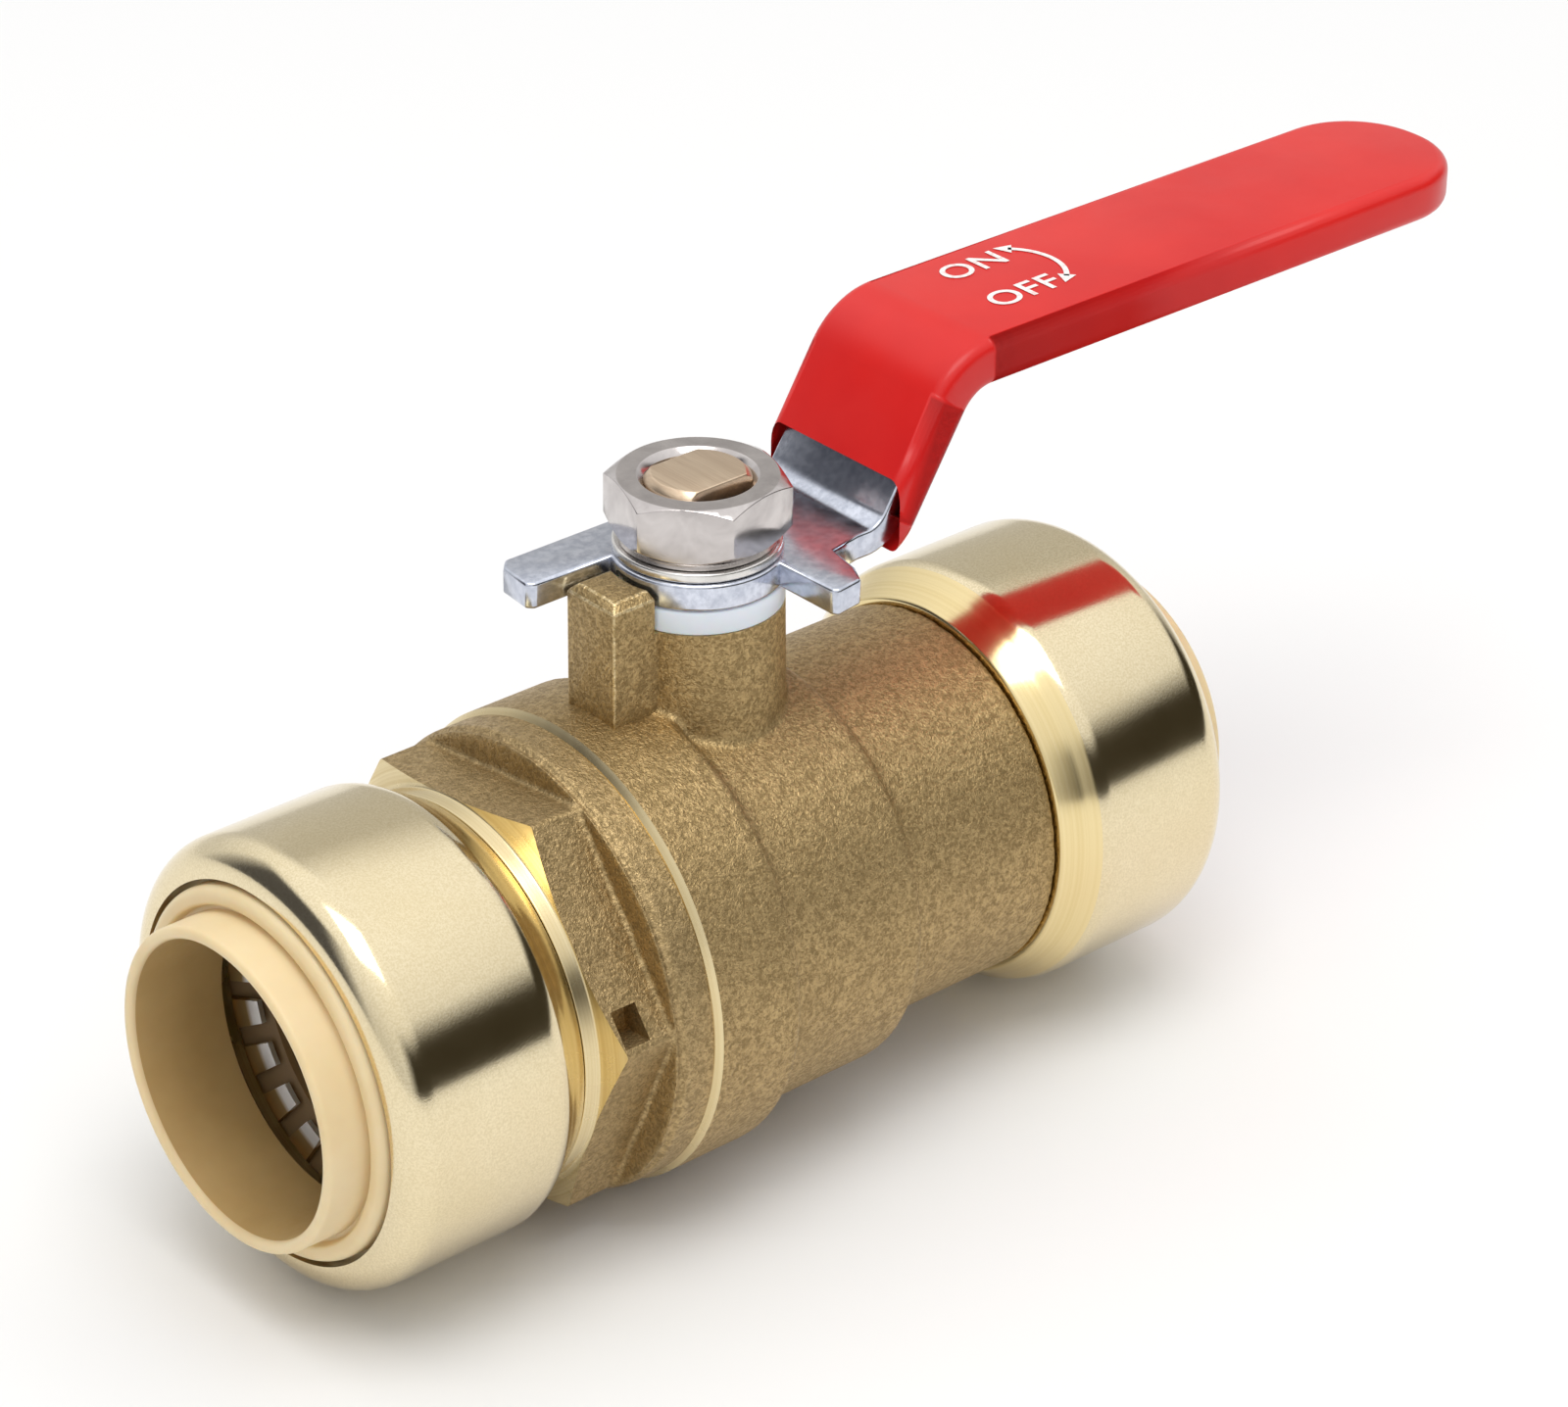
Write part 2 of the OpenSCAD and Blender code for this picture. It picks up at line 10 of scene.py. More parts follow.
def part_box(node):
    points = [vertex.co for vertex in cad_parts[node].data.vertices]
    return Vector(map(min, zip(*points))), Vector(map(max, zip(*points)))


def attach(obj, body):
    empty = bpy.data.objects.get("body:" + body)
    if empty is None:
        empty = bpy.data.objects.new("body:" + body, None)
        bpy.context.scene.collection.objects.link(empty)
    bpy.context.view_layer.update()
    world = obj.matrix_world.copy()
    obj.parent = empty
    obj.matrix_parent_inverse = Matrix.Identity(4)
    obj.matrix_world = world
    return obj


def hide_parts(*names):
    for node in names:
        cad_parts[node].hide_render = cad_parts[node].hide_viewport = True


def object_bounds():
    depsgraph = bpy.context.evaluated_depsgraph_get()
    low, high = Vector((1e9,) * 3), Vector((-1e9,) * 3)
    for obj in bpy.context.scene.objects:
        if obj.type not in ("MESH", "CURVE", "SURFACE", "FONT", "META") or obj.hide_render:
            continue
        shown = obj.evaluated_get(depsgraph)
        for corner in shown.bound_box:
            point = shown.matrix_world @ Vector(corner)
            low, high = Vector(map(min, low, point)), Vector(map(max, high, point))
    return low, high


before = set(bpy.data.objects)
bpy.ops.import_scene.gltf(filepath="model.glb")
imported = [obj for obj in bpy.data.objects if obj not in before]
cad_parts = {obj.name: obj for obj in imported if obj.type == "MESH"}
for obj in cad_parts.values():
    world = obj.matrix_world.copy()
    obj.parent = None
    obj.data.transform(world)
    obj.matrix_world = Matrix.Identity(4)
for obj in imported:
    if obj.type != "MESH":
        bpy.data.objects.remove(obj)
cad_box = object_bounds()

MM = 0.001
TURN = 2 * math.pi


def span(node):
    """Lowest and highest corner of a CAD node, in millimetres."""
    low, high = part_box(node)
    return low / MM, high / MM


body_low, body_high = span("valve_body")
stem_low, stem_high = span("stem")
washer_low, washer_high = span("bearing_washer")
grip_low, grip_high = span("lever_grip")
casing_low, casing_high = span("outlet_casing")
collar_low, collar_high = span("outlet_collar")
lock_low, _ = span("lock_washer")

STEM_X = (stem_low.x + stem_high.x) / 2
STEM = Vector((STEM_X, 0, 0))
HEX_TURN = math.radians(7)
BARREL_R = body_high.y
JOINT_U = STEM_X - body_low.x
SPIGOT_U = body_high.x - STEM_X
POST_TOP = body_high.z
CASING_R = casing_high.y
CASING_REAR_U = casing_low.x - STEM_X
LIP_U = casing_high.x - STEM_X
COLLAR_END_U = collar_low.x - STEM_X
NOSE_U = collar_high.x - STEM_X
TOWER_R = washer_high.y
TOWER_TOP = washer_low.z + 1.6
BEARING_TOP = washer_high.z
PLATE_TOP = lock_low.z
GRIP_Z = grip_high.z - 1.95

# Bores and seats shared by the body and the adapter
THREAD_R = 15.4
BALL_ROOM_R = 14.2
SEAT_R = 13.0
SEAT_END_U = 12.2
PORT_R = 9.2
PORT_END_U = 16.5
TUBE_R = 11.25
TUBE_END_U = 28.0
CARTRIDGE_R = 14.25
CLEAR_U = 40
END_BORE = ((SEAT_END_U, SEAT_R, 0), (SEAT_END_U, PORT_R, 0), (PORT_END_U, PORT_R, 0), (PORT_END_U, TUBE_R, 0),
            (TUBE_END_U, TUBE_R, 0), (TUBE_END_U, CARTRIDGE_R, 0), (CLEAR_U, CARTRIDGE_R, 0), (CLEAR_U, 0, 0))
SPIGOT_ROOT_R = 14.0
SPIGOT_R = 16.25

# Body: the step down from the barrel, the stop post, and the stem's bores
BODY_STEP = 1.5
POST_OUT = 3.65
POST_HALF = 2.65
HEAD_ROOM_R = 6.1
HEAD_TOP_Z = 16.95
STEM_BORE_R = 5.0
WASHER_SEAT_R = 5.6
LEDGE_Z = 23.1

# Adapter and casing
FLANGE_T = 3.3
HEX_LENGTH = 5.5
HEX_FLAT_R = 15.3
BAND_FROM_U = 26.0

# Evenness of the cast skins, in mm, and empty slots for shapes not yet finished
BODY_GRAIN = 0.27
ADAPTER_GRAIN = 0.17
BLANK_SLOTS = (None, None, None)

# ---------------------------------------------------------------- camera, lights and stage

VIEW_FROM = Vector((-0.18455, -0.24950, 0.19875))
VIEW_TO = Vector((0.03654, 0.0, 0.01256))
LENS = 117.25
SENSOR = 36
ROLL = math.radians(0.757)


def make_camera():
    camera = bpy.data.objects.new("camera", bpy.data.cameras.new("camera"))
    bpy.context.scene.collection.objects.link(camera)
    camera.data.sensor_width = SENSOR
    camera.data.lens = LENS
    camera.data.clip_start = 0.01
    camera.data.clip_end = 10
    aim = (VIEW_TO - VIEW_FROM).to_track_quat("-Z", "Y")
    camera.rotation_mode = "QUATERNION"
    camera.rotation_quaternion = aim @ Quaternion((0, 0, 1), ROLL)
    camera.location = VIEW_FROM
    bpy.context.scene.camera = camera


def soft_light(name, direction, distance, size, power, tint=(1, 1, 1)):
    """A square soft box, aimed at the middle of the valve."""
    light = bpy.data.lights.new(name, "AREA")
    light.shape = "RECTANGLE"
    light.size, light.size_y = size
    light.energy = power
    light.color = tint
    lamp = bpy.data.objects.new(name, light)
    bpy.context.scene.collection.objects.link(lamp)
    lamp.location = LIGHT_AIM + Vector(direction).normalized() * distance
    lamp.rotation_mode = "QUATERNION"
    lamp.rotation_quaternion = (LIGHT_AIM - lamp.location).to_track_quat("-Z", "Y")


LIGHT_AIM = Vector((0.035, 0, 0.01))
SCREEN_FADE = 10

# Screens standing on the table: compass direction, half width, height, softness of the top, shade
SCREENS = ((45, 22, 0.62, 0.20, (0.60, 0.59, 0.57)), (146, 30, 0.60, 0.10, (0.09, 0.09, 0.10)),
           (-57, 60, 0.35, 0.15, (0.040, 0.033, 0.020)))


def studio_walls():
    """Room light: bright overhead and all round, with screens standing at table height."""
    world = bpy.data.worlds.new("studio")
    bpy.context.scene.world = world
    world.use_nodes = True
    tree = world.node_tree
    tree.nodes.clear()
    spot = tree.nodes.new("ShaderNodeTexCoord")
    parts = tree.nodes.new("ShaderNodeSeparateXYZ")
    tree.links.new(spot.outputs["Generated"], parts.inputs[0])
    up = parts.outputs["Z"]
    room = remap(tree, up, 0.15, 0.85, 0.76, 1.16)
    around = sum_of(tree, "ARCTAN2", parts.outputs["Y"], parts.outputs["X"])
    for facing, half, top, soft, shade in SCREENS:
        level = sum_of(tree, "MULTIPLY", remap(tree, up, -0.12, 0.0), remap(tree, up, top + soft, top))
        off = sum_of(tree, "SUBTRACT", around, math.radians(facing))
        off = sum_of(tree, "ABSOLUTE", sum_of(tree, "WRAP", off, math.pi), 0)
        screen = remap(tree, off, math.radians(half + SCREEN_FADE), math.radians(half - SCREEN_FADE))
        node = tree.nodes.new("ShaderNodeMix")
        node.data_type = "RGBA"
        tree.links.new(sum_of(tree, "MULTIPLY", screen, level), node.inputs[0])
        tree.links.new(room, node.inputs[6])
        node.inputs[7].default_value = (*shade, 1)
        room = node.outputs[2]
    glow = tree.nodes.new("ShaderNodeBackground")
    tree.links.new(room, glow.inputs["Color"])
    out = tree.nodes.new("ShaderNodeOutputWorld")
    tree.links.new(glow.outputs[0], out.inputs["Surface"])


def make_floor(stuff):
    bm = bmesh.new()
    bmesh.ops.create_grid(bm, x_segments=2, y_segments=2, size=3)
    bmesh.ops.translate(bm, vec=(LIGHT_AIM.x, 0, cad_box[0][2] - 0.0002), verts=bm.verts[:])
    mesh = bpy.data.meshes.new("floor")
    bm.to_mesh(mesh)
    bm.free()
    floor = bpy.data.objects.new("floor", mesh)
    mesh.materials.append(stuff)
    bpy.context.scene.collection.objects.link(floor)


# ---------------------------------------------------------------- shared effects for finishes

def group_shell(name, values, results):
    """An empty node group with named inputs and outputs, and its object coordinates."""
    group = bpy.data.node_groups.new(name, "ShaderNodeTree")
    for label, value in values:
        socket = group.interface.new_socket(name=label, in_out="INPUT", socket_type="NodeSocketFloat")
        socket.default_value = value
    for label in results:
        group.interface.new_socket(name=label, in_out="OUTPUT", socket_type="NodeSocketFloat")
    given = group.nodes.new("NodeGroupInput")
    made = group.nodes.new("NodeGroupOutput")
    where = group.nodes.new("ShaderNodeTexCoord")
    return group, given, made, where.outputs["Object"]


def sum_of(tree, how, first, second):
    """A Math node fed by sockets or numbers; gives its output."""
    node = tree.nodes.new("ShaderNodeMath")
    node.operation = how
    if how == "WRAP":
        node.inputs[2].default_value = -math.pi
    for place, value in enumerate((first, second)):
        if isinstance(value, (int, float)):
            node.inputs[place].default_value = value
        else:
            tree.links.new(value, node.inputs[place])
    return node.outputs[0]


def noise_in(tree, where, scale, detail=2.0, rough=0.5, warp=0.0):
    node = tree.nodes.new("ShaderNodeTexNoise")
    node.inputs["Detail"].default_value = detail
    node.inputs["Roughness"].default_value = rough
    node.inputs["Distortion"].default_value = warp
    tree.links.new(where, node.inputs["Vector"])
    if isinstance(scale, (int, float)):
        node.inputs["Scale"].default_value = scale
    else:
        tree.links.new(scale, node.inputs["Scale"])
    return node.outputs["Fac"]


def remap(tree, value, low, high, to_low=0.0, to_high=1.0):
    node = tree.nodes.new("ShaderNodeMapRange")
    node.clamp = True
    tree.links.new(value, node.inputs["Value"])
    node.inputs["From Min"].default_value = low
    node.inputs["From Max"].default_value = high
    node.inputs["To Min"].default_value = to_low
    node.inputs["To Max"].default_value = to_high
    return node.outputs[0]


def pipe_place(tree, where):
    """Distance along the pipe axis and out from it, as a vector for a pattern of rings."""
    parts = tree.nodes.new("ShaderNodeSeparateXYZ")
    tree.links.new(where, parts.inputs[0])
    y2 = sum_of(tree, "MULTIPLY", parts.outputs["Y"], parts.outputs["Y"])
    z2 = sum_of(tree, "MULTIPLY", parts.outputs["Z"], parts.outputs["Z"])
    out = sum_of(tree, "SQRT", sum_of(tree, "ADD", y2, z2), 0)
    ring = tree.nodes.new("ShaderNodeCombineXYZ")
    tree.links.new(parts.outputs["X"], ring.inputs["X"])
    tree.links.new(out, ring.inputs["Y"])
    return ring.outputs[0]


def grain_group():
    """Fine pitted skin of a blasted casting: a height, and a tone that is dark in the pits."""
    group, given, made, where = group_shell(
        "blasted_grain", [("Scale", 2600.0), ("Broad", 260.0)], ["Height", "Tone", "Patches"])
    fine = noise_in(group, where, given.outputs["Scale"], 2.5, 0.55, 0.9)
    half = sum_of(group, "MULTIPLY", given.outputs["Scale"], 0.42)
    lumps = noise_in(group, where, half, 1.0, 0.5, 0.6)
    both = sum_of(group, "ADD", sum_of(group, "MULTIPLY", fine, 0.65),
                  sum_of(group, "MULTIPLY", lumps, 0.35))
    group.links.new(remap(group, both, 0.34, 0.66), made.inputs["Height"])
    group.links.new(remap(group, both, 0.41, 0.59), made.inputs["Tone"])
    broad = noise_in(group, where, given.outputs["Broad"], 3.0)
    group.links.new(remap(group, broad, 0.3, 0.7), made.inputs["Patches"])
    return group


def rings_group():
    """Fine lines left by a lathe tool round the pipe axis."""
    group, given, made, where = group_shell("tool_rings", [("Scale", 5200.0)], ["Height", "Tone"])
    ring = pipe_place(group, where)
    fine = noise_in(group, ring, given.outputs["Scale"], 3.0, 0.65)
    coarse = noise_in(group, ring, sum_of(group, "MULTIPLY", given.outputs["Scale"], 0.2), 1.0)
    both = sum_of(group, "ADD", sum_of(group, "MULTIPLY", fine, 0.6),
                  sum_of(group, "MULTIPLY", coarse, 0.4))
    group.links.new(both, made.inputs["Height"])
    group.links.new(remap(group, both, 0.35, 0.65), made.inputs["Tone"])
    return group


def scuffs_group():
    """Handling marks: broad cloudy smudges, and fine short scratches."""
    group, given, made, where = group_shell(
        "handling_marks", [("Smudge Scale", 90.0), ("Scratch Scale", 700.0)], ["Smudge", "Scratch"])
    group.links.new(remap(group, noise_in(group, where, given.outputs["Smudge Scale"], 4.0, 0.6, 0.4), 0.35, 0.68),
                    made.inputs["Smudge"])
    turned = group.nodes.new("ShaderNodeMapping")
    turned.inputs["Rotation"].default_value = (0.5, 0.35, 0.9)
    turned.inputs["Scale"].default_value = (0.06, 1.0, 1.4)
    group.links.new(where, turned.inputs["Vector"])
    lines = noise_in(group, turned.outputs[0], given.outputs["Scratch Scale"], 4.0, 0.7)
    group.links.new(remap(group, lines, 0.60, 0.74), made.inputs["Scratch"])
    return group


GRAIN = grain_group()
RINGS = rings_group()
SCUFFS = scuffs_group()


# ---------------------------------------------------------------- finishes

class Finish:
    """One material being built: its tree, its shader, and the few steps each finish repeats."""

    def __init__(self, name, metallic=0.0, specular=0.5):
        self.material = bpy.data.materials.new(name)
        self.material.use_nodes = True
        self.tree = self.material.node_tree
        self.tree.nodes.clear()
        self.shader = self.tree.nodes.new("ShaderNodeBsdfPrincipled")
        self.shader.inputs["Metallic"].default_value = metallic
        self.shader.inputs["Specular IOR Level"].default_value = specular
        out = self.tree.nodes.new("ShaderNodeOutputMaterial")
        self.tree.links.new(self.shader.outputs[0], out.inputs["Surface"])

    def effect(self, group, **values):
        node = self.tree.nodes.new("ShaderNodeGroup")
        node.node_tree = group
        for label, value in values.items():
            node.inputs[label.replace("_", " ")].default_value = value
        return node.outputs

    def mixed(self, mask, first, second):
        """A colour that goes from first to second as the mask rises."""
        node = self.tree.nodes.new("ShaderNodeMix")
        node.data_type = "RGBA"
        for place, value in ((6, first), (7, second)):
            if isinstance(value, tuple):
                node.inputs[place].default_value = (*value, 1)
            else:
                self.tree.links.new(value, node.inputs[place])
        self.tree.links.new(mask, node.inputs[0])
        return node.outputs[2]

    def colour(self, value):
        self.tree.links.new(value, self.shader.inputs["Base Color"])

    def roughness(self, mask, low, high):
        self.tree.links.new(remap(self.tree, mask, 0, 1, low, high), self.shader.inputs["Roughness"])

    def bumps(self, *layers):
        """Bump layers of (height, strength, depth in mm), the later ones on top of the earlier."""
        last = None
        for height, strength, depth in layers:
            bump = self.tree.nodes.new("ShaderNodeBump")
            bump.inputs["Strength"].default_value = strength
            bump.inputs["Distance"].default_value = depth * MM
            self.tree.links.new(height, bump.inputs["Height"])
            if last is not None:
                self.tree.links.new(last, bump.inputs["Normal"])
            last = bump.outputs[0]
        self.tree.links.new(last, self.shader.inputs["Normal"])

    def object_noise(self, scale, detail=2.0, rough=0.5, warp=0.0):
        where = self.tree.nodes.new("ShaderNodeTexCoord")
        return noise_in(self.tree, where.outputs["Object"], scale, detail, rough, warp)


def blasted_brass(name, dark, light, rough=0.46):
    """Cast brass, blasted to a fine even grain that is darker in the pits."""
    f = Finish(name, metallic=1.0)
    grain = f.effect(GRAIN, Scale=4000.0, Broad=220.0)
    base = f.mixed(grain["Tone"], dark, light)
    f.colour(f.mixed(remap(f.tree, grain["Patches"], 0, 1, 0, 0.22), base, dark))
    f.roughness(grain["Tone"], rough + 0.08, rough - 0.04)
    f.bumps((grain["Height"], 0.95, 0.055), (grain["Patches"], 0.10, 0.03))
    return f.material


def turned_brass(name, dark, light, rough, ring_depth=0.012):
    """Brass fresh from the lathe, with fine tool lines round the pipe."""
    f = Finish(name, metallic=1.0)
    rings = f.effect(RINGS, Scale=5200.0)
    marks = f.effect(SCUFFS, Smudge_Scale=140.0)
    f.colour(f.mixed(rings["Tone"], dark, light))
    f.roughness(marks["Smudge"], rough[0], rough[1])
    f.bumps((rings["Height"], 0.35, ring_depth), (marks["Scratch"], 0.08, 0.01))
    return f.material


def satin_brass():
    """Drawn brass casing with a soft satin skin."""
    f = Finish("satin_casing_brass", metallic=1.0)
    marks = f.effect(SCUFFS, Smudge_Scale=120.0, Scratch_Scale=1100.0)
    speck = f.object_noise(6200.0, 2.0, 0.6)
    tone = f.mixed(remap(f.tree, speck, 0.38, 0.62), (0.73, 0.62, 0.40), (0.84, 0.73, 0.50))
    f.colour(f.mixed(remap(f.tree, marks["Smudge"], 0, 1, 0, 0.25), tone, (0.72, 0.59, 0.34)))
    f.roughness(marks["Smudge"], 0.12, 0.16)
    f.bumps((speck, 0.34, 0.008), (marks["Scratch"], 0.05, 0.008))
    return f.material


def polished_brass():
    f = Finish("polished_casing_brass", metallic=1.0)
    rings = f.effect(RINGS, Scale=3400.0)
    marks = f.effect(SCUFFS, Smudge_Scale=160.0)
    f.colour(f.mixed(rings["Tone"], (0.78, 0.62, 0.31), (0.86, 0.71, 0.40)))
    f.roughness(marks["Smudge"], 0.12, 0.20)
    f.bumps((rings["Height"], 0.16, 0.010))
    return f.material


def moulded_plastic(name, dark, light, rough=0.42):
    """Cream moulded plastic that light soaks into a little."""
    f = Finish(name)
    cloud = f.object_noise(180.0, 3.0)
    fine = f.object_noise(3000.0, 2.0)
    f.colour(f.mixed(remap(f.tree, cloud, 0.3, 0.7), dark, light))
    f.roughness(remap(f.tree, fine, 0.3, 0.7), rough - 0.05, rough + 0.06)
    f.shader.inputs["Subsurface Weight"].default_value = 0.35
    f.shader.inputs["Subsurface Radius"].default_value = (1.0, 0.62, 0.32)
    f.shader.inputs["Subsurface Scale"].default_value = 0.0012
    f.bumps((fine, 0.10, 0.01))
    return f.material


def zinc_plate():
    """Zinc-plated pressed steel: bluish, faintly crystalline, with fine scratches."""
    f = Finish("zinc_plated_steel", metallic=1.0)
    marks = f.effect(SCUFFS, Smudge_Scale=260.0, Scratch_Scale=1500.0)
    fleck = f.object_noise(1400.0, 4.0, 0.65)
    tone = f.mixed(remap(f.tree, fleck, 0.38, 0.62), (0.52, 0.55, 0.64), (0.72, 0.75, 0.84))
    f.colour(f.mixed(remap(f.tree, marks["Smudge"], 0, 1, 0, 0.5), tone, (0.44, 0.47, 0.54)))
    f.roughness(marks["Smudge"], 0.16, 0.28)
    f.bumps((fleck, 0.16, 0.014), (marks["Scratch"], 0.20, 0.012))
    return f.material


def nickel_plate():
    """Nickel-plated nut: warm grey, smooth, with light wrench marks."""
    f = Finish("nickel_plate", metallic=1.0)
    marks = f.effect(SCUFFS, Smudge_Scale=300.0, Scratch_Scale=1800.0)
    f.colour(f.mixed(marks["Smudge"], (0.64, 0.60, 0.585), (0.47, 0.435, 0.425)))
    f.roughness(marks["Smudge"], 0.13, 0.24)
    f.bumps((f.object_noise(900.0, 3.0), 0.12, 0.02), (marks["Scratch"], 0.16, 0.01))
    return f.material


def spring_steel():
    light = (0.82, 0.80, 0.77)
    f = Finish("spring_steel", metallic=1.0)
    marks = f.effect(SCUFFS, Smudge_Scale=300.0, Scratch_Scale=1600.0)
    f.colour(f.mixed(marks["Smudge"], light, tuple(v * 0.8 for v in light)))
    f.roughness(marks["Smudge"], 0.18, 0.34)
    f.bumps((marks["Scratch"], 0.2, 0.01))
    return f.material


def toothed_steel():
    """Grab ring: dark brassy steel, going near white on the tips of the teeth as a painted highlight."""
    f = Finish("grab_ring_steel", metallic=1.0)
    where = f.tree.nodes.new("ShaderNodeTexCoord")
    parts = f.tree.nodes.new("ShaderNodeSeparateXYZ")
    f.tree.links.new(pipe_place(f.tree, where.outputs["Object"]), parts.inputs[0])
    # Painted highlight: colour goes near white towards the tooth tips, standing in for the bright reflection they
    # catch
    tip_highlight = remap(f.tree, parts.outputs["Y"], 12.3 * MM, 12.0 * MM)
    marks = f.effect(SCUFFS, Smudge_Scale=300.0, Scratch_Scale=1600.0)
    f.colour(f.mixed(tip_highlight, (0.50, 0.36, 0.16), (1.0, 0.99, 0.97)))
    f.roughness(marks["Smudge"], 0.40, 0.55)
    f.bumps((marks["Scratch"], 0.2, 0.01))
    return f.material


def red_vinyl():
    """Red dipped vinyl: thick, glossy, with a faint ripple from the dip."""
    f = Finish("red_dipped_vinyl", specular=0.3)
    cloud = f.object_noise(70.0, 3.0, 0.55)
    fine = f.object_noise(1500.0, 2.0)
    marks = f.effect(SCUFFS, Smudge_Scale=110.0, Scratch_Scale=900.0)
    f.colour(f.mixed(remap(f.tree, cloud, 0.3, 0.7), (0.60, 0.010, 0.010), (0.70, 0.018, 0.014)))
    f.roughness(marks["Smudge"], 0.30, 0.42)
    f.shader.inputs["Coat Weight"].default_value = 0.16
    f.shader.inputs["Coat Roughness"].default_value = 0.18
    f.shader.inputs["Subsurface Weight"].default_value = 0.10
    f.shader.inputs["Subsurface Radius"].default_value = (1.0, 0.15, 0.10)
    f.shader.inputs["Subsurface Scale"].default_value = 0.0006
    f.bumps((fine, 0.10, 0.015), (cloud, 0.25, 0.10))
    return f.material


def print_ink():
    """White pad-printed ink, slightly worn through."""
    f = Finish("white_print")
    wear = f.object_noise(2600.0, 3.0, 0.6)
    f.colour(f.mixed(remap(f.tree, wear, 0.52, 0.74), (0.86, 0.84, 0.82), (0.80, 0.45, 0.43)))
    f.roughness(wear, 0.40, 0.60)
    f.bumps((wear, 0.1, 0.01))
    return f.material


def plain_skin(name, dark, light, rough, scale=900.0, depth=0.01, metallic=0.0, soft=0.0):
    """Plain moulded or rubber skin with cloudy colour and a fine surface."""
    f = Finish(name, metallic=metallic)
    cloud = f.object_noise(scale * 0.2, 3.0)
    fine = f.object_noise(scale, 2.0)
    f.colour(f.mixed(remap(f.tree, cloud, 0.3, 0.7), dark, light))
    f.roughness(remap(f.tree, fine, 0.3, 0.7), rough - 0.06, rough + 0.06)
    if soft:
        f.shader.inputs["Subsurface Weight"].default_value = soft
        f.shader.inputs["Subsurface Scale"].default_value = 0.001
    f.bumps((fine, 0.2, depth))
    return f.material


def table_paint():
    f = Finish("pale_table", specular=0.2)
    cloud = f.object_noise(3.0, 2.0)
    f.colour(f.mixed(cloud, (0.86, 0.86, 0.86), (0.88, 0.88, 0.88)))
    f.roughness(cloud, 0.7, 0.8)
    return f.material


BODY_CAST = blasted_brass("blasted_brass_body", (0.31, 0.218, 0.098), (0.56, 0.405, 0.195))
ADAPTER_CAST = blasted_brass("blasted_brass_adapter", (0.31, 0.222, 0.104), (0.55, 0.400, 0.200))
RUBBED = blasted_brass("rubbed_cast_edge", (0.46, 0.33, 0.15), (0.84, 0.68, 0.40), 0.32)
MACHINED = turned_brass("machined_brass", (0.66, 0.52, 0.27), (0.84, 0.72, 0.46), (0.22, 0.34))
STEM_BRASS = turned_brass("stem_brass", (0.62, 0.47, 0.33), (0.80, 0.64, 0.47), (0.28, 0.42), 0.012)
SATIN = satin_brass()
POLISHED = polished_brass()
COLLAR = moulded_plastic("cream_collar", (0.76, 0.60, 0.34), (0.82, 0.67, 0.41))
# Darker amber copy of the collar plastic: painted shade for the inside of the bore
COLLAR_BORE_SHADE = moulded_plastic("collar_bore_painted_shade", (0.50, 0.33, 0.13), (0.58, 0.40, 0.17))
GUARD = moulded_plastic("amber_guard", (0.20, 0.125, 0.05), (0.27, 0.17, 0.07), 0.5)
ZINC = zinc_plate()
NICKEL = nickel_plate()
STEEL = spring_steel()
TEETH = toothed_steel()
RED = red_vinyl()
INK = print_ink()
NYLON = plain_skin("white_nylon", (0.74, 0.79, 0.86), (0.80, 0.84, 0.90), 0.38, soft=0.3)
PTFE = plain_skin("white_ptfe", (0.80, 0.80, 0.77), (0.86, 0.86, 0.83), 0.45, soft=0.2)
RUBBER = plain_skin("black_rubber", (0.012, 0.012, 0.012), (0.022, 0.021, 0.020), 0.38, 1600.0)
CHROME = plain_skin("ball_chrome", (0.60, 0.61, 0.62), (0.68, 0.69, 0.70), 0.12, 700.0, 0.002, metallic=1.0)


# ---------------------------------------------------------------- making shapes

def round_corners(bm, verts, roundings):
    """Rounds each corner of a flat outline by its own amount."""
    for size in sorted({r for r in roundings if r}, reverse=True):
        picked = [v for v, r in zip(verts, roundings) if r == size]
        bmesh.ops.bevel(bm, geom=picked, offset=size, offset_type="OFFSET", profile=0.5,
                        segments=max(3, min(12, round(size * 8))), affect="VERTICES",
                        clamp_overlap=True, material=-1)


def outline(corners, along="X"):
    """A flat face from (along, out, rounding) corners, standing on the pipe or stem axis."""
    bm = bmesh.new()
    if along == "X":
        verts = [bm.verts.new((u, 0, r)) for u, r, _ in corners]
    else:
        verts = [bm.verts.new((r, 0, u)) for u, r, _ in corners]
    bm.faces.new(verts)
    round_corners(bm, verts, [c[2] for c in corners])
    return bm


def turned(corners, along="X", steps=144, mark=0):
    """A solid turned round the pipe or stem axis from a closed outline."""
    bm = outline(corners, along)
    bmesh.ops.delete(bm, geom=bm.faces[:], context="FACES_ONLY")
    axis = (1, 0, 0) if along == "X" else (0, 0, 1)
    bmesh.ops.spin(bm, geom=bm.verts[:] + bm.edges[:], cent=(0, 0, 0), axis=axis, dvec=(0, 0, 0),
                   angle=TURN, steps=steps, use_merge=True, use_normal_flip=False, use_duplicate=False)
    tidy(bm)
    for face in bm.faces:
        face.material_index = mark
    return bm


def tidy(bm, dist=1e-4):
    bmesh.ops.remove_doubles(bm, verts=bm.verts[:], dist=dist)
    loose = [e for e in bm.edges if not e.link_faces]
    bmesh.ops.delete(bm, geom=loose, context="EDGES")
    bmesh.ops.delete(bm, geom=[v for v in bm.verts if not v.link_edges], context="VERTS")
    bmesh.ops.recalc_face_normals(bm, faces=bm.faces[:])


def rolled(bm, angle, axis):
    """Turns a shape about a line through the point where the pipe and stem axes cross."""
    bmesh.ops.rotate(bm, cent=(0, 0, 0), matrix=Matrix.Rotation(angle, 3, axis), verts=bm.verts[:])


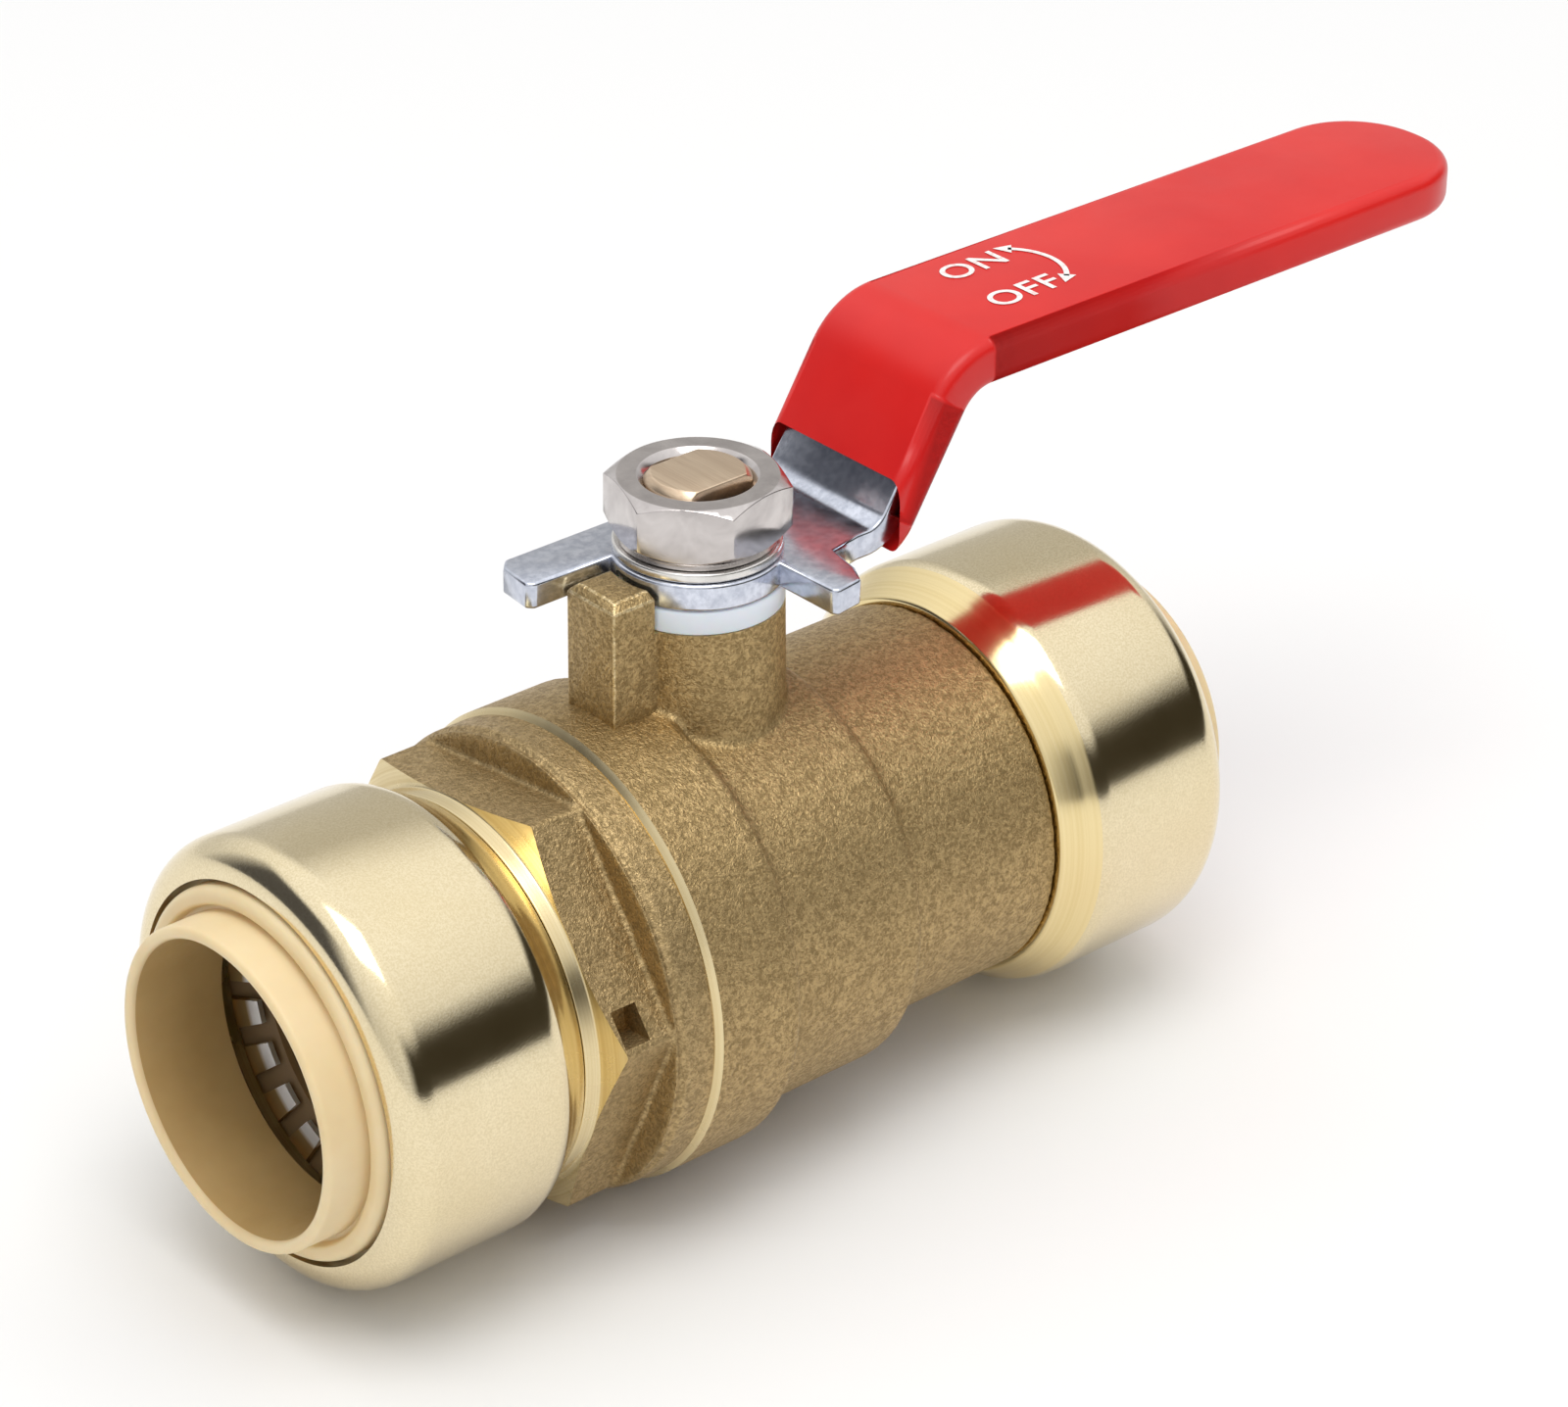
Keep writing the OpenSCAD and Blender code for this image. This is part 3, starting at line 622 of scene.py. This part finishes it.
def block(low, high):
    """A square block between two corners."""
    bm = bmesh.new()
    low, high = Vector(low), Vector(high)
    bmesh.ops.create_cube(bm, size=1)
    bmesh.ops.scale(bm, vec=high - low, verts=bm.verts[:])
    bmesh.ops.translate(bm, vec=(low + high) / 2, verts=bm.verts[:])
    return bm


def scratch_object(bm, stuff):
    mesh = bpy.data.meshes.new("scratch")
    for material in stuff:
        mesh.materials.append(material)
    bm.to_mesh(mesh)
    bm.free()
    made = bpy.data.objects.new("scratch", mesh)
    bpy.context.scene.collection.objects.link(made)
    return made


def drop(*objects):
    for made in objects:
        mesh = made.data
        bpy.data.objects.remove(made)
        bpy.data.meshes.remove(mesh)


def result_of(made):
    """The mesh that an object's modifiers give, as a bmesh."""
    bpy.context.view_layer.update()
    finished = made.evaluated_get(bpy.context.evaluated_depsgraph_get())
    mesh = finished.to_mesh()
    bm = bmesh.new()
    bm.from_mesh(mesh)
    finished.to_mesh_clear()
    return bm


def carved(bm, tool, how="DIFFERENCE"):
    """Cuts, joins or crosses one shape with another. Each face keeps its own finish."""
    work, other = scratch_object(bm, BLANK_SLOTS), scratch_object(tool, BLANK_SLOTS)
    step = work.modifiers.new("carve", "BOOLEAN")
    step.operation = how
    step.solver = "EXACT"
    step.material_mode = "INDEX"
    step.object = other
    made = result_of(work)
    drop(work, other)
    bmesh.ops.remove_doubles(made, verts=made.verts[:], dist=1e-5)
    return made


def joined(*shapes):
    """Several overlapping shapes in one bmesh, not yet one skin."""
    whole = shapes[0]
    for shape in shapes[1:]:
        mesh = bpy.data.meshes.new("scratch")
        shape.to_mesh(mesh)
        shape.free()
        whole.from_mesh(mesh)
        bpy.data.meshes.remove(mesh)
    return whole


def cast_skin(bm, grain_size, smooth_times):
    """One skin over overlapping shapes, evenly divided and softened as a casting is."""
    work = scratch_object(bm, BLANK_SLOTS[:1])
    step = work.modifiers.new("skin", "REMESH")
    step.mode = "VOXEL"
    step.voxel_size = grain_size
    made = result_of(work)
    drop(work)
    for _ in range(smooth_times):
        bmesh.ops.smooth_vert(made, verts=made.verts[:], factor=0.5,
                              use_axis_x=True, use_axis_y=True, use_axis_z=True)
    return made


def fillet_near(bm, near, times):
    """Softens only the skin that a test picks out."""
    picked = [v for v in bm.verts if near(v.co)]
    for _ in range(times):
        bmesh.ops.smooth_vert(bm, verts=picked, factor=0.5,
                              use_axis_x=True, use_axis_y=True, use_axis_z=True)


def eased(bm, ease, angle=30, segments=2):
    """Rounds over every sharp outward edge."""
    sharp = [e for e in bm.edges if len(e.link_faces) == 2 and e.calc_face_angle(0) > math.radians(angle)
             and e.is_convex]
    bmesh.ops.bevel(bm, geom=sharp, offset=ease, offset_type="OFFSET", profile=0.5, segments=segments,
                    affect="EDGES", clamp_overlap=True, material=-1)
    return bm


def cad_copy(node):
    """A copy of a CAD node's shape, in millimetres about the stem axis, as whole flat faces."""
    bm = bmesh.new()
    bm.from_mesh(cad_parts[node].data)
    bmesh.ops.scale(bm, vec=(1 / MM,) * 3, verts=bm.verts[:])
    bmesh.ops.translate(bm, vec=-STEM, verts=bm.verts[:])
    bmesh.ops.remove_doubles(bm, verts=bm.verts[:], dist=1e-3)
    bmesh.ops.dissolve_limit(bm, angle_limit=math.radians(0.5), use_dissolve_boundaries=False,
                             verts=bm.verts[:], edges=bm.edges[:])
    return bm


def flipped(bm):
    """The same shape for the inlet end of the pipe."""
    rolled(bm, math.pi, "Z")
    return bm


def finished(bm, name, body, slot, stuff, nodes=(), crease=32):
    """Scales a shape to metres, gives it its finish and hangs it on its body."""
    bmesh.ops.translate(bm, vec=STEM, verts=bm.verts[:])
    bmesh.ops.scale(bm, vec=(MM,) * 3, verts=bm.verts[:])
    mesh = bpy.data.meshes.new(name)
    bm.to_mesh(mesh)
    bm.free()
    for material in stuff:
        mesh.materials.append(material)
    mesh.shade_smooth()
    mesh.set_sharp_from_angle(angle=math.radians(crease))
    piece = bpy.data.objects.new(name, mesh)
    bpy.context.scene.collection.objects.link(piece)
    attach(piece, body)
    if nodes:
        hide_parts(*nodes)
    return piece


# ---------------------------------------------------------------- body and adapter

def pipe_bores():
    """What the lathe takes out of the body: joint face, thread, ball room and outlet bores."""
    return turned([
        (-30, 0, 0), (-30, 26, 0), (-JOINT_U + 0.75, 26, 0), (-JOINT_U + 0.75, BARREL_R + 0.2, 0),
        (-JOINT_U + 0.05, BARREL_R - 0.55, 0.08), (-JOINT_U, BARREL_R - 0.9, 0), (-JOINT_U, THREAD_R, 0),
        (-6.7, THREAD_R, 0), (-6.7, BALL_ROOM_R, 0), (8.5, BALL_ROOM_R, 0), (8.5, SEAT_R, 0), *END_BORE], mark=1)


def spigot(start):
    """Machined spigot that carries a push-fit cartridge."""
    return turned([
        (start, 0, 0), (start, SPIGOT_ROOT_R, 0), (CASING_REAR_U, SPIGOT_ROOT_R, 0),
        (CASING_REAR_U + 0.2, 14.3, 0), (CASING_REAR_U + 3.2, SPIGOT_R, 0),
        (SPIGOT_U, SPIGOT_R, 0.3), (SPIGOT_U, 0, 0)], mark=1)


def make_body():
    barrel = turned([
        (-JOINT_U - 1.2, 0, 0), (-JOINT_U - 1.2, BARREL_R, 0), (-5.7, BARREL_R, 0.2),
        (-5.0, BARREL_R - BODY_STEP, 0.5), (7.5, BARREL_R - BODY_STEP, 0.4), (8.6, 14.9, 0.5),
        (CASING_REAR_U - 0.1, 14.9, 0), (CASING_REAR_U - 0.1, 0, 0)])
    tower = turned([
        (6, 0, 0), (6, TOWER_R + 0.7, 0), (16.5, TOWER_R + 0.15, 0), (TOWER_TOP + 1, TOWER_R, 0),
        (TOWER_TOP + 1, 0, 0)], "Z", 96)
    post = block((-TOWER_R - POST_OUT, -POST_HALF, 4), (-TOWER_R + 1, POST_HALF, POST_TOP))
    rim = [e for e in post.edges if min(v.co.z for v in e.verts) > POST_TOP - 0.01]
    bmesh.ops.bevel(post, geom=rim, offset=0.6, segments=1, profile=0.5, affect="EDGES",
                    offset_type="OFFSET", clamp_overlap=True, material=-1)
    worn = [e for e in post.edges if e.is_convex and e.calc_face_angle(0) > math.radians(30)
            and max(v.co.z for v in e.verts) > 6]
    bmesh.ops.bevel(post, geom=worn, offset=0.14, segments=2, profile=0.5, affect="EDGES",
                    offset_type="OFFSET", clamp_overlap=True, material=2)
    skin = cast_skin(joined(barrel, tower), BODY_GRAIN, 2)

    def by_tower(co):
        side = math.hypot(co.x, co.y)
        under = math.sqrt(max(0.0, (BARREL_R - BODY_STEP) ** 2 - co.y ** 2))
        return co.z > 8 and 5.0 < side < 12.5 and under - 0.6 < co.z < under + 1.7
    fillet_near(skin, by_tower, 4)
    skin = carved(skin, post, "UNION")
    skin = carved(skin, spigot(17), "UNION")
    skin = carved(skin, pipe_bores())
    top = turned([(TOWER_TOP, 0, 0), (TOWER_TOP, TOWER_R + 0.4, 0.1), (40, TOWER_R + 0.4, 0), (40, 0, 0)],
                 "Z", 96, mark=1)
    skin = carved(skin, top)
    well = turned([
        (0, 0, 0), (0, HEAD_ROOM_R, 0), (HEAD_TOP_Z, HEAD_ROOM_R, 0), (HEAD_TOP_Z, STEM_BORE_R, 0),
        (LEDGE_Z, STEM_BORE_R, 0), (LEDGE_Z, WASHER_SEAT_R, 0), (30, WASHER_SEAT_R, 0), (30, 0, 0)],
        "Z", 96, mark=1)
    skin = carved(skin, well)
    return finished(skin, "body_casting", "valve", "forged_brass", (BODY_CAST, MACHINED, RUBBED),
                    ("valve_body",), 40)


def make_adapter():
    """Made pointing to +X like the outlet, then turned round to the inlet end."""
    flange_r = BARREL_R - 0.4
    ramp_u = JOINT_U + FLANGE_T
    front_u = ramp_u + HEX_LENGTH
    hex_corner = HEX_FLAT_R / math.cos(math.radians(30))
    prism = bmesh.new()
    bmesh.ops.create_cone(prism, cap_ends=True, segments=6, radius1=hex_corner, radius2=hex_corner,
                          depth=front_u + 0.6 - JOINT_U - 0.4)
    rolled(prism, math.radians(90), "Y")
    rolled(prism, HEX_TURN, "X")
    bmesh.ops.translate(prism, vec=((front_u + 0.6 + JOINT_U + 0.4) / 2, 0, 0), verts=prism.verts[:])
    flange = turned([
        (JOINT_U - 1.2, 0, 0), (JOINT_U - 1.2, flange_r, 0), (ramp_u - 0.7, flange_r, 0.1),
        (ramp_u - 0.42, flange_r - 0.42, 0.1), (ramp_u, flange_r - 0.12, 0.15), (ramp_u, HEX_FLAT_R + 0.2, 0.2),
        (ramp_u + 0.5, HEX_FLAT_R - 0.2, 0), (ramp_u + 0.5, 0, 0)])
    boss = turned([(ramp_u, 0, 0), (ramp_u, 15.4, 0), (front_u + 1.4, 15.4, 0), (front_u + 1.4, 0, 0)])
    skin = cast_skin(joined(prism, flange, boss), ADAPTER_GRAIN, 2)
    thread_end = turned([
        (7.5, 0, 0), (7.5, 15.35, 0.4), (JOINT_U + 0.6, 15.35, 0), (JOINT_U + 0.6, 0, 0)], mark=1)
    spin_cut = turned([
        (front_u - 2.78, 22.0, 0), (front_u - 0.48, 15.25, 0.15), (front_u + 0.7, 15.2, 0.1),
        (front_u + 0.7, 13.9, 0), (front_u + 8, 13.9, 0), (front_u + 8, 26, 0), (front_u - 2.78, 26, 0)], mark=1)
    skin = carved(skin, spin_cut)
    joint_cut = turned([(JOINT_U - 6, 0, 0), (JOINT_U - 6, 24, 0), (JOINT_U - 0.02, 24, 0),
                        (JOINT_U, flange_r - 0.25, 0), (JOINT_U, 0, 0)], mark=1)
    skin = carved(skin, joint_cut)
    skin = carved(skin, thread_end, "UNION")
    skin = carved(skin, spigot(19.5), "UNION")
    bores = turned([(0, 0, 0), (0, SEAT_R, 0), *END_BORE], mark=1)
    skin = carved(skin, bores)
    recess = block((18.85, -3.0, hex_corner - 3.1), (21.05, -0.5, hex_corner + 2))
    rolled(recess, HEX_TURN - math.pi / 2, "X")
    skin = carved(skin, recess)
    return finished(flipped(skin), "end_adapter_casting", "valve", "adapter_brass", (ADAPTER_CAST, MACHINED),
                    ("end_adapter",), 40)


# ---------------------------------------------------------------- sockets

def casing():
    """Push-fit casing: satin, with its rear cone polished."""
    wall = 0.95
    rear = CASING_REAR_U
    skin = turned([
        (rear, 14.35, 0.12), (rear, 15.25, 0.2), (rear + 1.9, 16.35, 0.2), (rear + 3.2, CASING_R, 0.7),
        (LIP_U, CASING_R, 3.2),
        (LIP_U, 14.6, 0.42), (LIP_U - wall, 14.6, 0.25), (LIP_U - wall, CASING_R - wall, 2.2),
        (rear + 3.6, CASING_R - wall, 0.3), (rear + 0.5, 14.35, 0.15)])
    for face in skin.faces:
        if face.calc_center_median().x < BAND_FROM_U:
            face.material_index = 1
    return skin


def collar():
    """Release collar: rounded nose, a groove, the shoulder in the casing's mouth, hidden flange; painted shade
    inside the bore.
    """
    bore, nose, shoulder = 11.32, 12.32, 14.3
    skin = turned([
        (COLLAR_END_U, bore, 0.1), (COLLAR_END_U, nose, 0.2), (36.9, nose, 0), (36.9, 15.5, 0.15),
        (38.1, 15.5, 0.15), (38.1, shoulder - 0.12, 0), (40.4, shoulder - 0.12, 0.75),
        (40.4, nose + 0.55, 0.2), (39.7, nose + 0.35, 0.1), (39.7, nose, 0.05), (NOSE_U, nose, 0.49),
        (NOSE_U, bore, 0.49)])
    # Faces inside the bore get the darker amber copy: painted shade in the bore
    for face in skin.faces:
        middle = face.calc_center_median()
        if math.hypot(middle.y, middle.z) < bore + 0.03 and middle.x < NOSE_U - 0.5:
            face.material_index = 1
    return skin


def make_sockets():
    brass, plastic = (SATIN, POLISHED), (COLLAR, COLLAR_BORE_SHADE)
    finished(flipped(casing()), "inlet_push_casing", "valve", "casing_brass", brass, ("inlet_casing",), 50)
    finished(casing(), "outlet_push_casing", "valve", "casing_brass", brass, ("outlet_casing",), 50)
    finished(flipped(collar()), "inlet_release_collar", "inlet_release", "collar_plastic", plastic,
             ("inlet_collar",), 50)
    finished(collar(), "outlet_release_collar", "outlet_release", "collar_plastic", plastic,
             ("outlet_collar",), 50)


# ---------------------------------------------------------------- lever stack

def make_stack():
    washer = turned([
        (washer_low.z, STEM_BORE_R, 0.05), (washer_low.z, WASHER_SEAT_R, 0.05), (TOWER_TOP, WASHER_SEAT_R, 0),
        (TOWER_TOP, TOWER_R, 0.2), (BEARING_TOP, TOWER_R, 0.3), (BEARING_TOP, STEM_BORE_R, 0.1)], "Z", 128)
    finished(washer, "white_bearing_washer", "valve", "washer_nylon", (NYLON,), ("bearing_washer",), 50)

    gap = math.radians(6)
    foot, top, bore, rim = 0.02, 0.78, 3.96, 6.25
    ring = outline([(foot, bore, 0.1), (foot, rim, 0.2), (top, rim, 0.2), (top, bore, 0.1)], "Z")
    bmesh.ops.translate(ring, vec=(0, 0, PLATE_TOP), verts=ring.verts[:])
    rolled(ring, math.radians(70), "Z")
    first = ring.faces[:]
    steps = 110
    bmesh.ops.spin(ring, geom=first, cent=(0, 0, 0), axis=(0, 0, 1), dvec=(0, 0, 0.09 / steps),
                   angle=TURN - gap, steps=steps, use_merge=False, use_normal_flip=False, use_duplicate=False)
    tidy(ring)
    finished(ring, "split_lock_washer", "lever", "washer_steel", (STEEL,), ("lock_washer",), 50)

    nut = eased(cad_copy("handle_nut"), 0.14, 24, 2)
    finished(nut, "handle_hex_nut", "lever", "nickel_nut", (NICKEL,), ("handle_nut",), 35)

    stem = eased(cad_copy("stem"), 0.10, 35, 2)
    finished(stem, "brass_stem", "lever", "stem_brass", (STEM_BRASS,), ("stem",), 35)

    plate = eased(cad_copy("lever_plate"), 0.26, 40, 3)
    finished(plate, "zinc_lever_plate", "lever", "zinc_steel", (ZINC,), ("lever_plate",), 35)


# The lever's climb: its slope, its two bends, and where the grip's open end stands
SLOPE = math.radians(58)
BEND_LOW_R, BEND_HIGH_R = 3.0, 5.0
NUT_FLAT_R = 6
BEND_LOW_X = NUT_FLAT_R / math.cos(math.radians(30)) + 5.7
GRIP_X = BEND_LOW_X + 0.6
RISE = 11.4
BEND_STEPS = 14
TIP_FLAT = 0.25
LONG_EDGE = 1.0
MOUTH_EDGE = 0.22
REACH = grip_high.x - STEM_X
GRIP_W = grip_high.y - grip_low.y
GRIP_T = 3.8


def make_grip():
    """Swept along the lever: round the first bend, up the slope, round the second and out to the
    tip, then cut straight down where the dip ended."""
    low_cut = BEND_LOW_R * math.tan(SLOPE / 2)
    high_cut = BEND_HIGH_R * math.tan(SLOPE / 2)
    high_x = BEND_LOW_X + RISE / math.tan(SLOPE)
    start = Vector((BEND_LOW_X - low_cut - 1, 0, GRIP_Z - RISE))
    bm = bmesh.new()
    bmesh.ops.create_grid(bm, x_segments=1, y_segments=1, size=0.5)
    bmesh.ops.scale(bm, vec=(GRIP_T - 0.04, GRIP_W - 0.02, 1), verts=bm.verts[:])
    rolled(bm, math.pi / 2, "Y")
    bmesh.ops.translate(bm, vec=start, verts=bm.verts[:])

    def pushed(face, way):
        grown = bmesh.ops.extrude_face_region(bm, geom=[face])["geom"]
        end = [g for g in grown if isinstance(g, bmesh.types.BMFace)][0]
        bmesh.ops.translate(bm, vec=way, verts=end.verts[:])
        return end

    def bent(face, centre, turn):
        spun = bmesh.ops.spin(bm, geom=[face], cent=centre, axis=(0, 1, 0), dvec=(0, 0, 0), angle=turn,
                              steps=BEND_STEPS, use_merge=False, use_normal_flip=False,
                              use_duplicate=False)
        return [g for g in spun["geom_last"] if isinstance(g, bmesh.types.BMFace)][0]
    climb = Vector((math.cos(SLOPE), 0, math.sin(SLOPE)))
    end = pushed(bm.faces[:][0], Vector((1, 0, 0)))
    end = bent(end, Vector((BEND_LOW_X - low_cut, 0, GRIP_Z - RISE + BEND_LOW_R)), -SLOPE)
    end = pushed(end, climb * (RISE / math.sin(SLOPE) - low_cut - high_cut))
    end = bent(end, Vector((high_x + high_cut, 0, GRIP_Z - BEND_HIGH_R)), SLOPE)
    end = pushed(end, Vector((REACH - high_x - high_cut, 0, 0)))
    tidy(bm)
    upright = [e for e in bm.edges if all(v.co.x > REACH - 0.01 for v in e.verts)
               and abs(e.verts[0].co.z - e.verts[1].co.z) > 1]
    bmesh.ops.bevel(bm, geom=upright, offset=GRIP_W / 2 - TIP_FLAT, segments=14, profile=0.5, affect="EDGES",
                    offset_type="OFFSET", clamp_overlap=True, material=-1)
    long_edges = [e for e in bm.edges if len(e.link_faces) == 2 and e.calc_face_angle(0) > math.radians(60)
                  and any(v.co.x > start.x + 0.1 for v in e.verts)]
    bmesh.ops.bevel(bm, geom=long_edges, offset=LONG_EDGE, segments=5, profile=0.5, affect="EDGES",
                    offset_type="OFFSET", clamp_overlap=True, material=-1)
    everything = bm.verts[:] + bm.edges[:] + bm.faces[:]
    cut = bmesh.ops.bisect_plane(bm, geom=everything, plane_co=(GRIP_X, 0, 0), plane_no=(1, 0, 0),
                                 clear_inner=True, clear_outer=False, dist=1e-4)["geom_cut"]
    rim = [g for g in cut if isinstance(g, bmesh.types.BMEdge)]
    bmesh.ops.edgeloop_fill(bm, edges=rim)
    tidy(bm)
    mouth = [e for e in bm.edges if all(abs(v.co.x - GRIP_X) < 1e-3 for v in e.verts)]
    bmesh.ops.bevel(bm, geom=mouth, offset=MOUTH_EDGE, segments=3, profile=0.5, affect="EDGES",
                    offset_type="OFFSET", clamp_overlap=True, material=-1)
    return finished(bm, "red_dipped_grip", "lever", "red_vinyl", (RED,), ("lever_grip",), 60)


# ---------------------------------------------------------------- print on the grip

def printed(bm, name):
    """Lays a flat shape, drawn about the stem axis in millimetres, on top of the grip."""
    solid = bmesh.ops.extrude_face_region(bm, geom=bm.faces[:])["geom"]
    bmesh.ops.translate(bm, vec=(0, 0, 0.018), verts=[g for g in solid if isinstance(g, bmesh.types.BMVert)])
    bmesh.ops.translate(bm, vec=(0, 0, grip_high.z - 0.025), verts=bm.verts[:])
    bmesh.ops.recalc_face_normals(bm, faces=bm.faces[:])
    return finished(bm, name, "lever", "red_vinyl", (INK,))


def word(text, name, centre, size):
    curve = bpy.data.curves.new("scratch", "FONT")
    curve.body = text
    curve.size = size
    curve.align_x = "CENTER"
    curve.align_y = "CENTER"
    curve.space_character = 1.08
    curve.offset = 0.035
    made = bpy.data.objects.new("scratch", curve)
    bpy.context.scene.collection.objects.link(made)
    bm = result_of(made)
    bpy.data.objects.remove(made)
    bpy.data.curves.remove(curve)
    bmesh.ops.remove_doubles(bm, verts=bm.verts[:], dist=1e-4)
    bmesh.ops.scale(bm, vec=(1.12, 1, 1), verts=bm.verts[:])
    bmesh.ops.translate(bm, vec=centre, verts=bm.verts[:])
    return printed(bm, name)


def turn_arrow(centre, radius, name):
    """Curved double-headed arrow between the two words."""
    width = 0.42
    sweep = math.radians(96)
    bm = bmesh.new()
    a = bm.verts.new((radius - width / 2, 0, 0))
    b = bm.verts.new((radius + width / 2, 0, 0))
    edge = bm.edges.new((a, b))
    rolled(bm, -sweep / 2, "Z")
    bmesh.ops.spin(bm, geom=[a, b, edge], cent=(0, 0, 0), axis=(0, 0, 1), dvec=(0, 0, 0), angle=sweep, steps=24,
                   use_merge=False, use_normal_flip=False, use_duplicate=False)
    for side in (-1, 1):
        head = bmesh.ops.create_circle(bm, cap_ends=True, cap_tris=False, segments=3, radius=0.95)["verts"]
        bmesh.ops.scale(bm, vec=(0.85, 1, 1), verts=head)
        pointing = Matrix.Rotation(0 if side > 0 else math.pi, 3, "Z")
        bmesh.ops.rotate(bm, cent=(0, 0, 0), matrix=pointing, verts=head)
        bmesh.ops.translate(bm, vec=(radius, side * 0.2, 0), verts=head)
        bmesh.ops.rotate(bm, cent=(0, 0, 0), matrix=Matrix.Rotation(side * sweep / 2, 3, "Z"), verts=head)
    bmesh.ops.translate(bm, vec=centre, verts=bm.verts[:])
    bmesh.ops.recalc_face_normals(bm, faces=bm.faces[:])
    return printed(bm, name)


def make_print():
    word("ON", "print_on", (29.9, 3.4, 0), 3.3)
    word("OFF", "print_off", (29.8, -2.3, 0), 3.3)
    turn_arrow((31.2, 0.85, 0), 4.3, "print_turn_arrow")


# ---------------------------------------------------------------- CAD nodes that keep their shape

CARRIED = {
    "adapter_seal": PTFE, "inlet_seat": PTFE, "outlet_seat": PTFE, "stem_thrust_washer": PTFE,
    "inlet_grab_ring": TEETH, "outlet_grab_ring": TEETH,
    "inlet_backing_ring": MACHINED, "outlet_backing_ring": MACHINED,
    "inlet_o_ring": RUBBER, "outlet_o_ring": RUBBER, "stem_o_ring_lower": RUBBER, "stem_o_ring_upper": RUBBER,
    "inlet_seal_guard": GUARD, "outlet_seal_guard": GUARD, "ball": CHROME,
}


def finish_carried():
    for name, material in CARRIED.items():
        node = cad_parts[name]
        node.data.materials.clear()
        node.data.materials.append(material)


bpy.context.scene.view_settings.view_transform = "Standard"
bpy.context.scene.view_settings.look = "None"
make_camera()
studio_walls()
soft_light("overhead_box", (-0.15, -0.25, 1.0), 0.75, (0.5, 0.4), 2.2, (1.0, 0.99, 0.97))
make_floor(table_paint())
make_body()
make_adapter()
make_sockets()
make_stack()
make_grip()
make_print()
finish_carried()
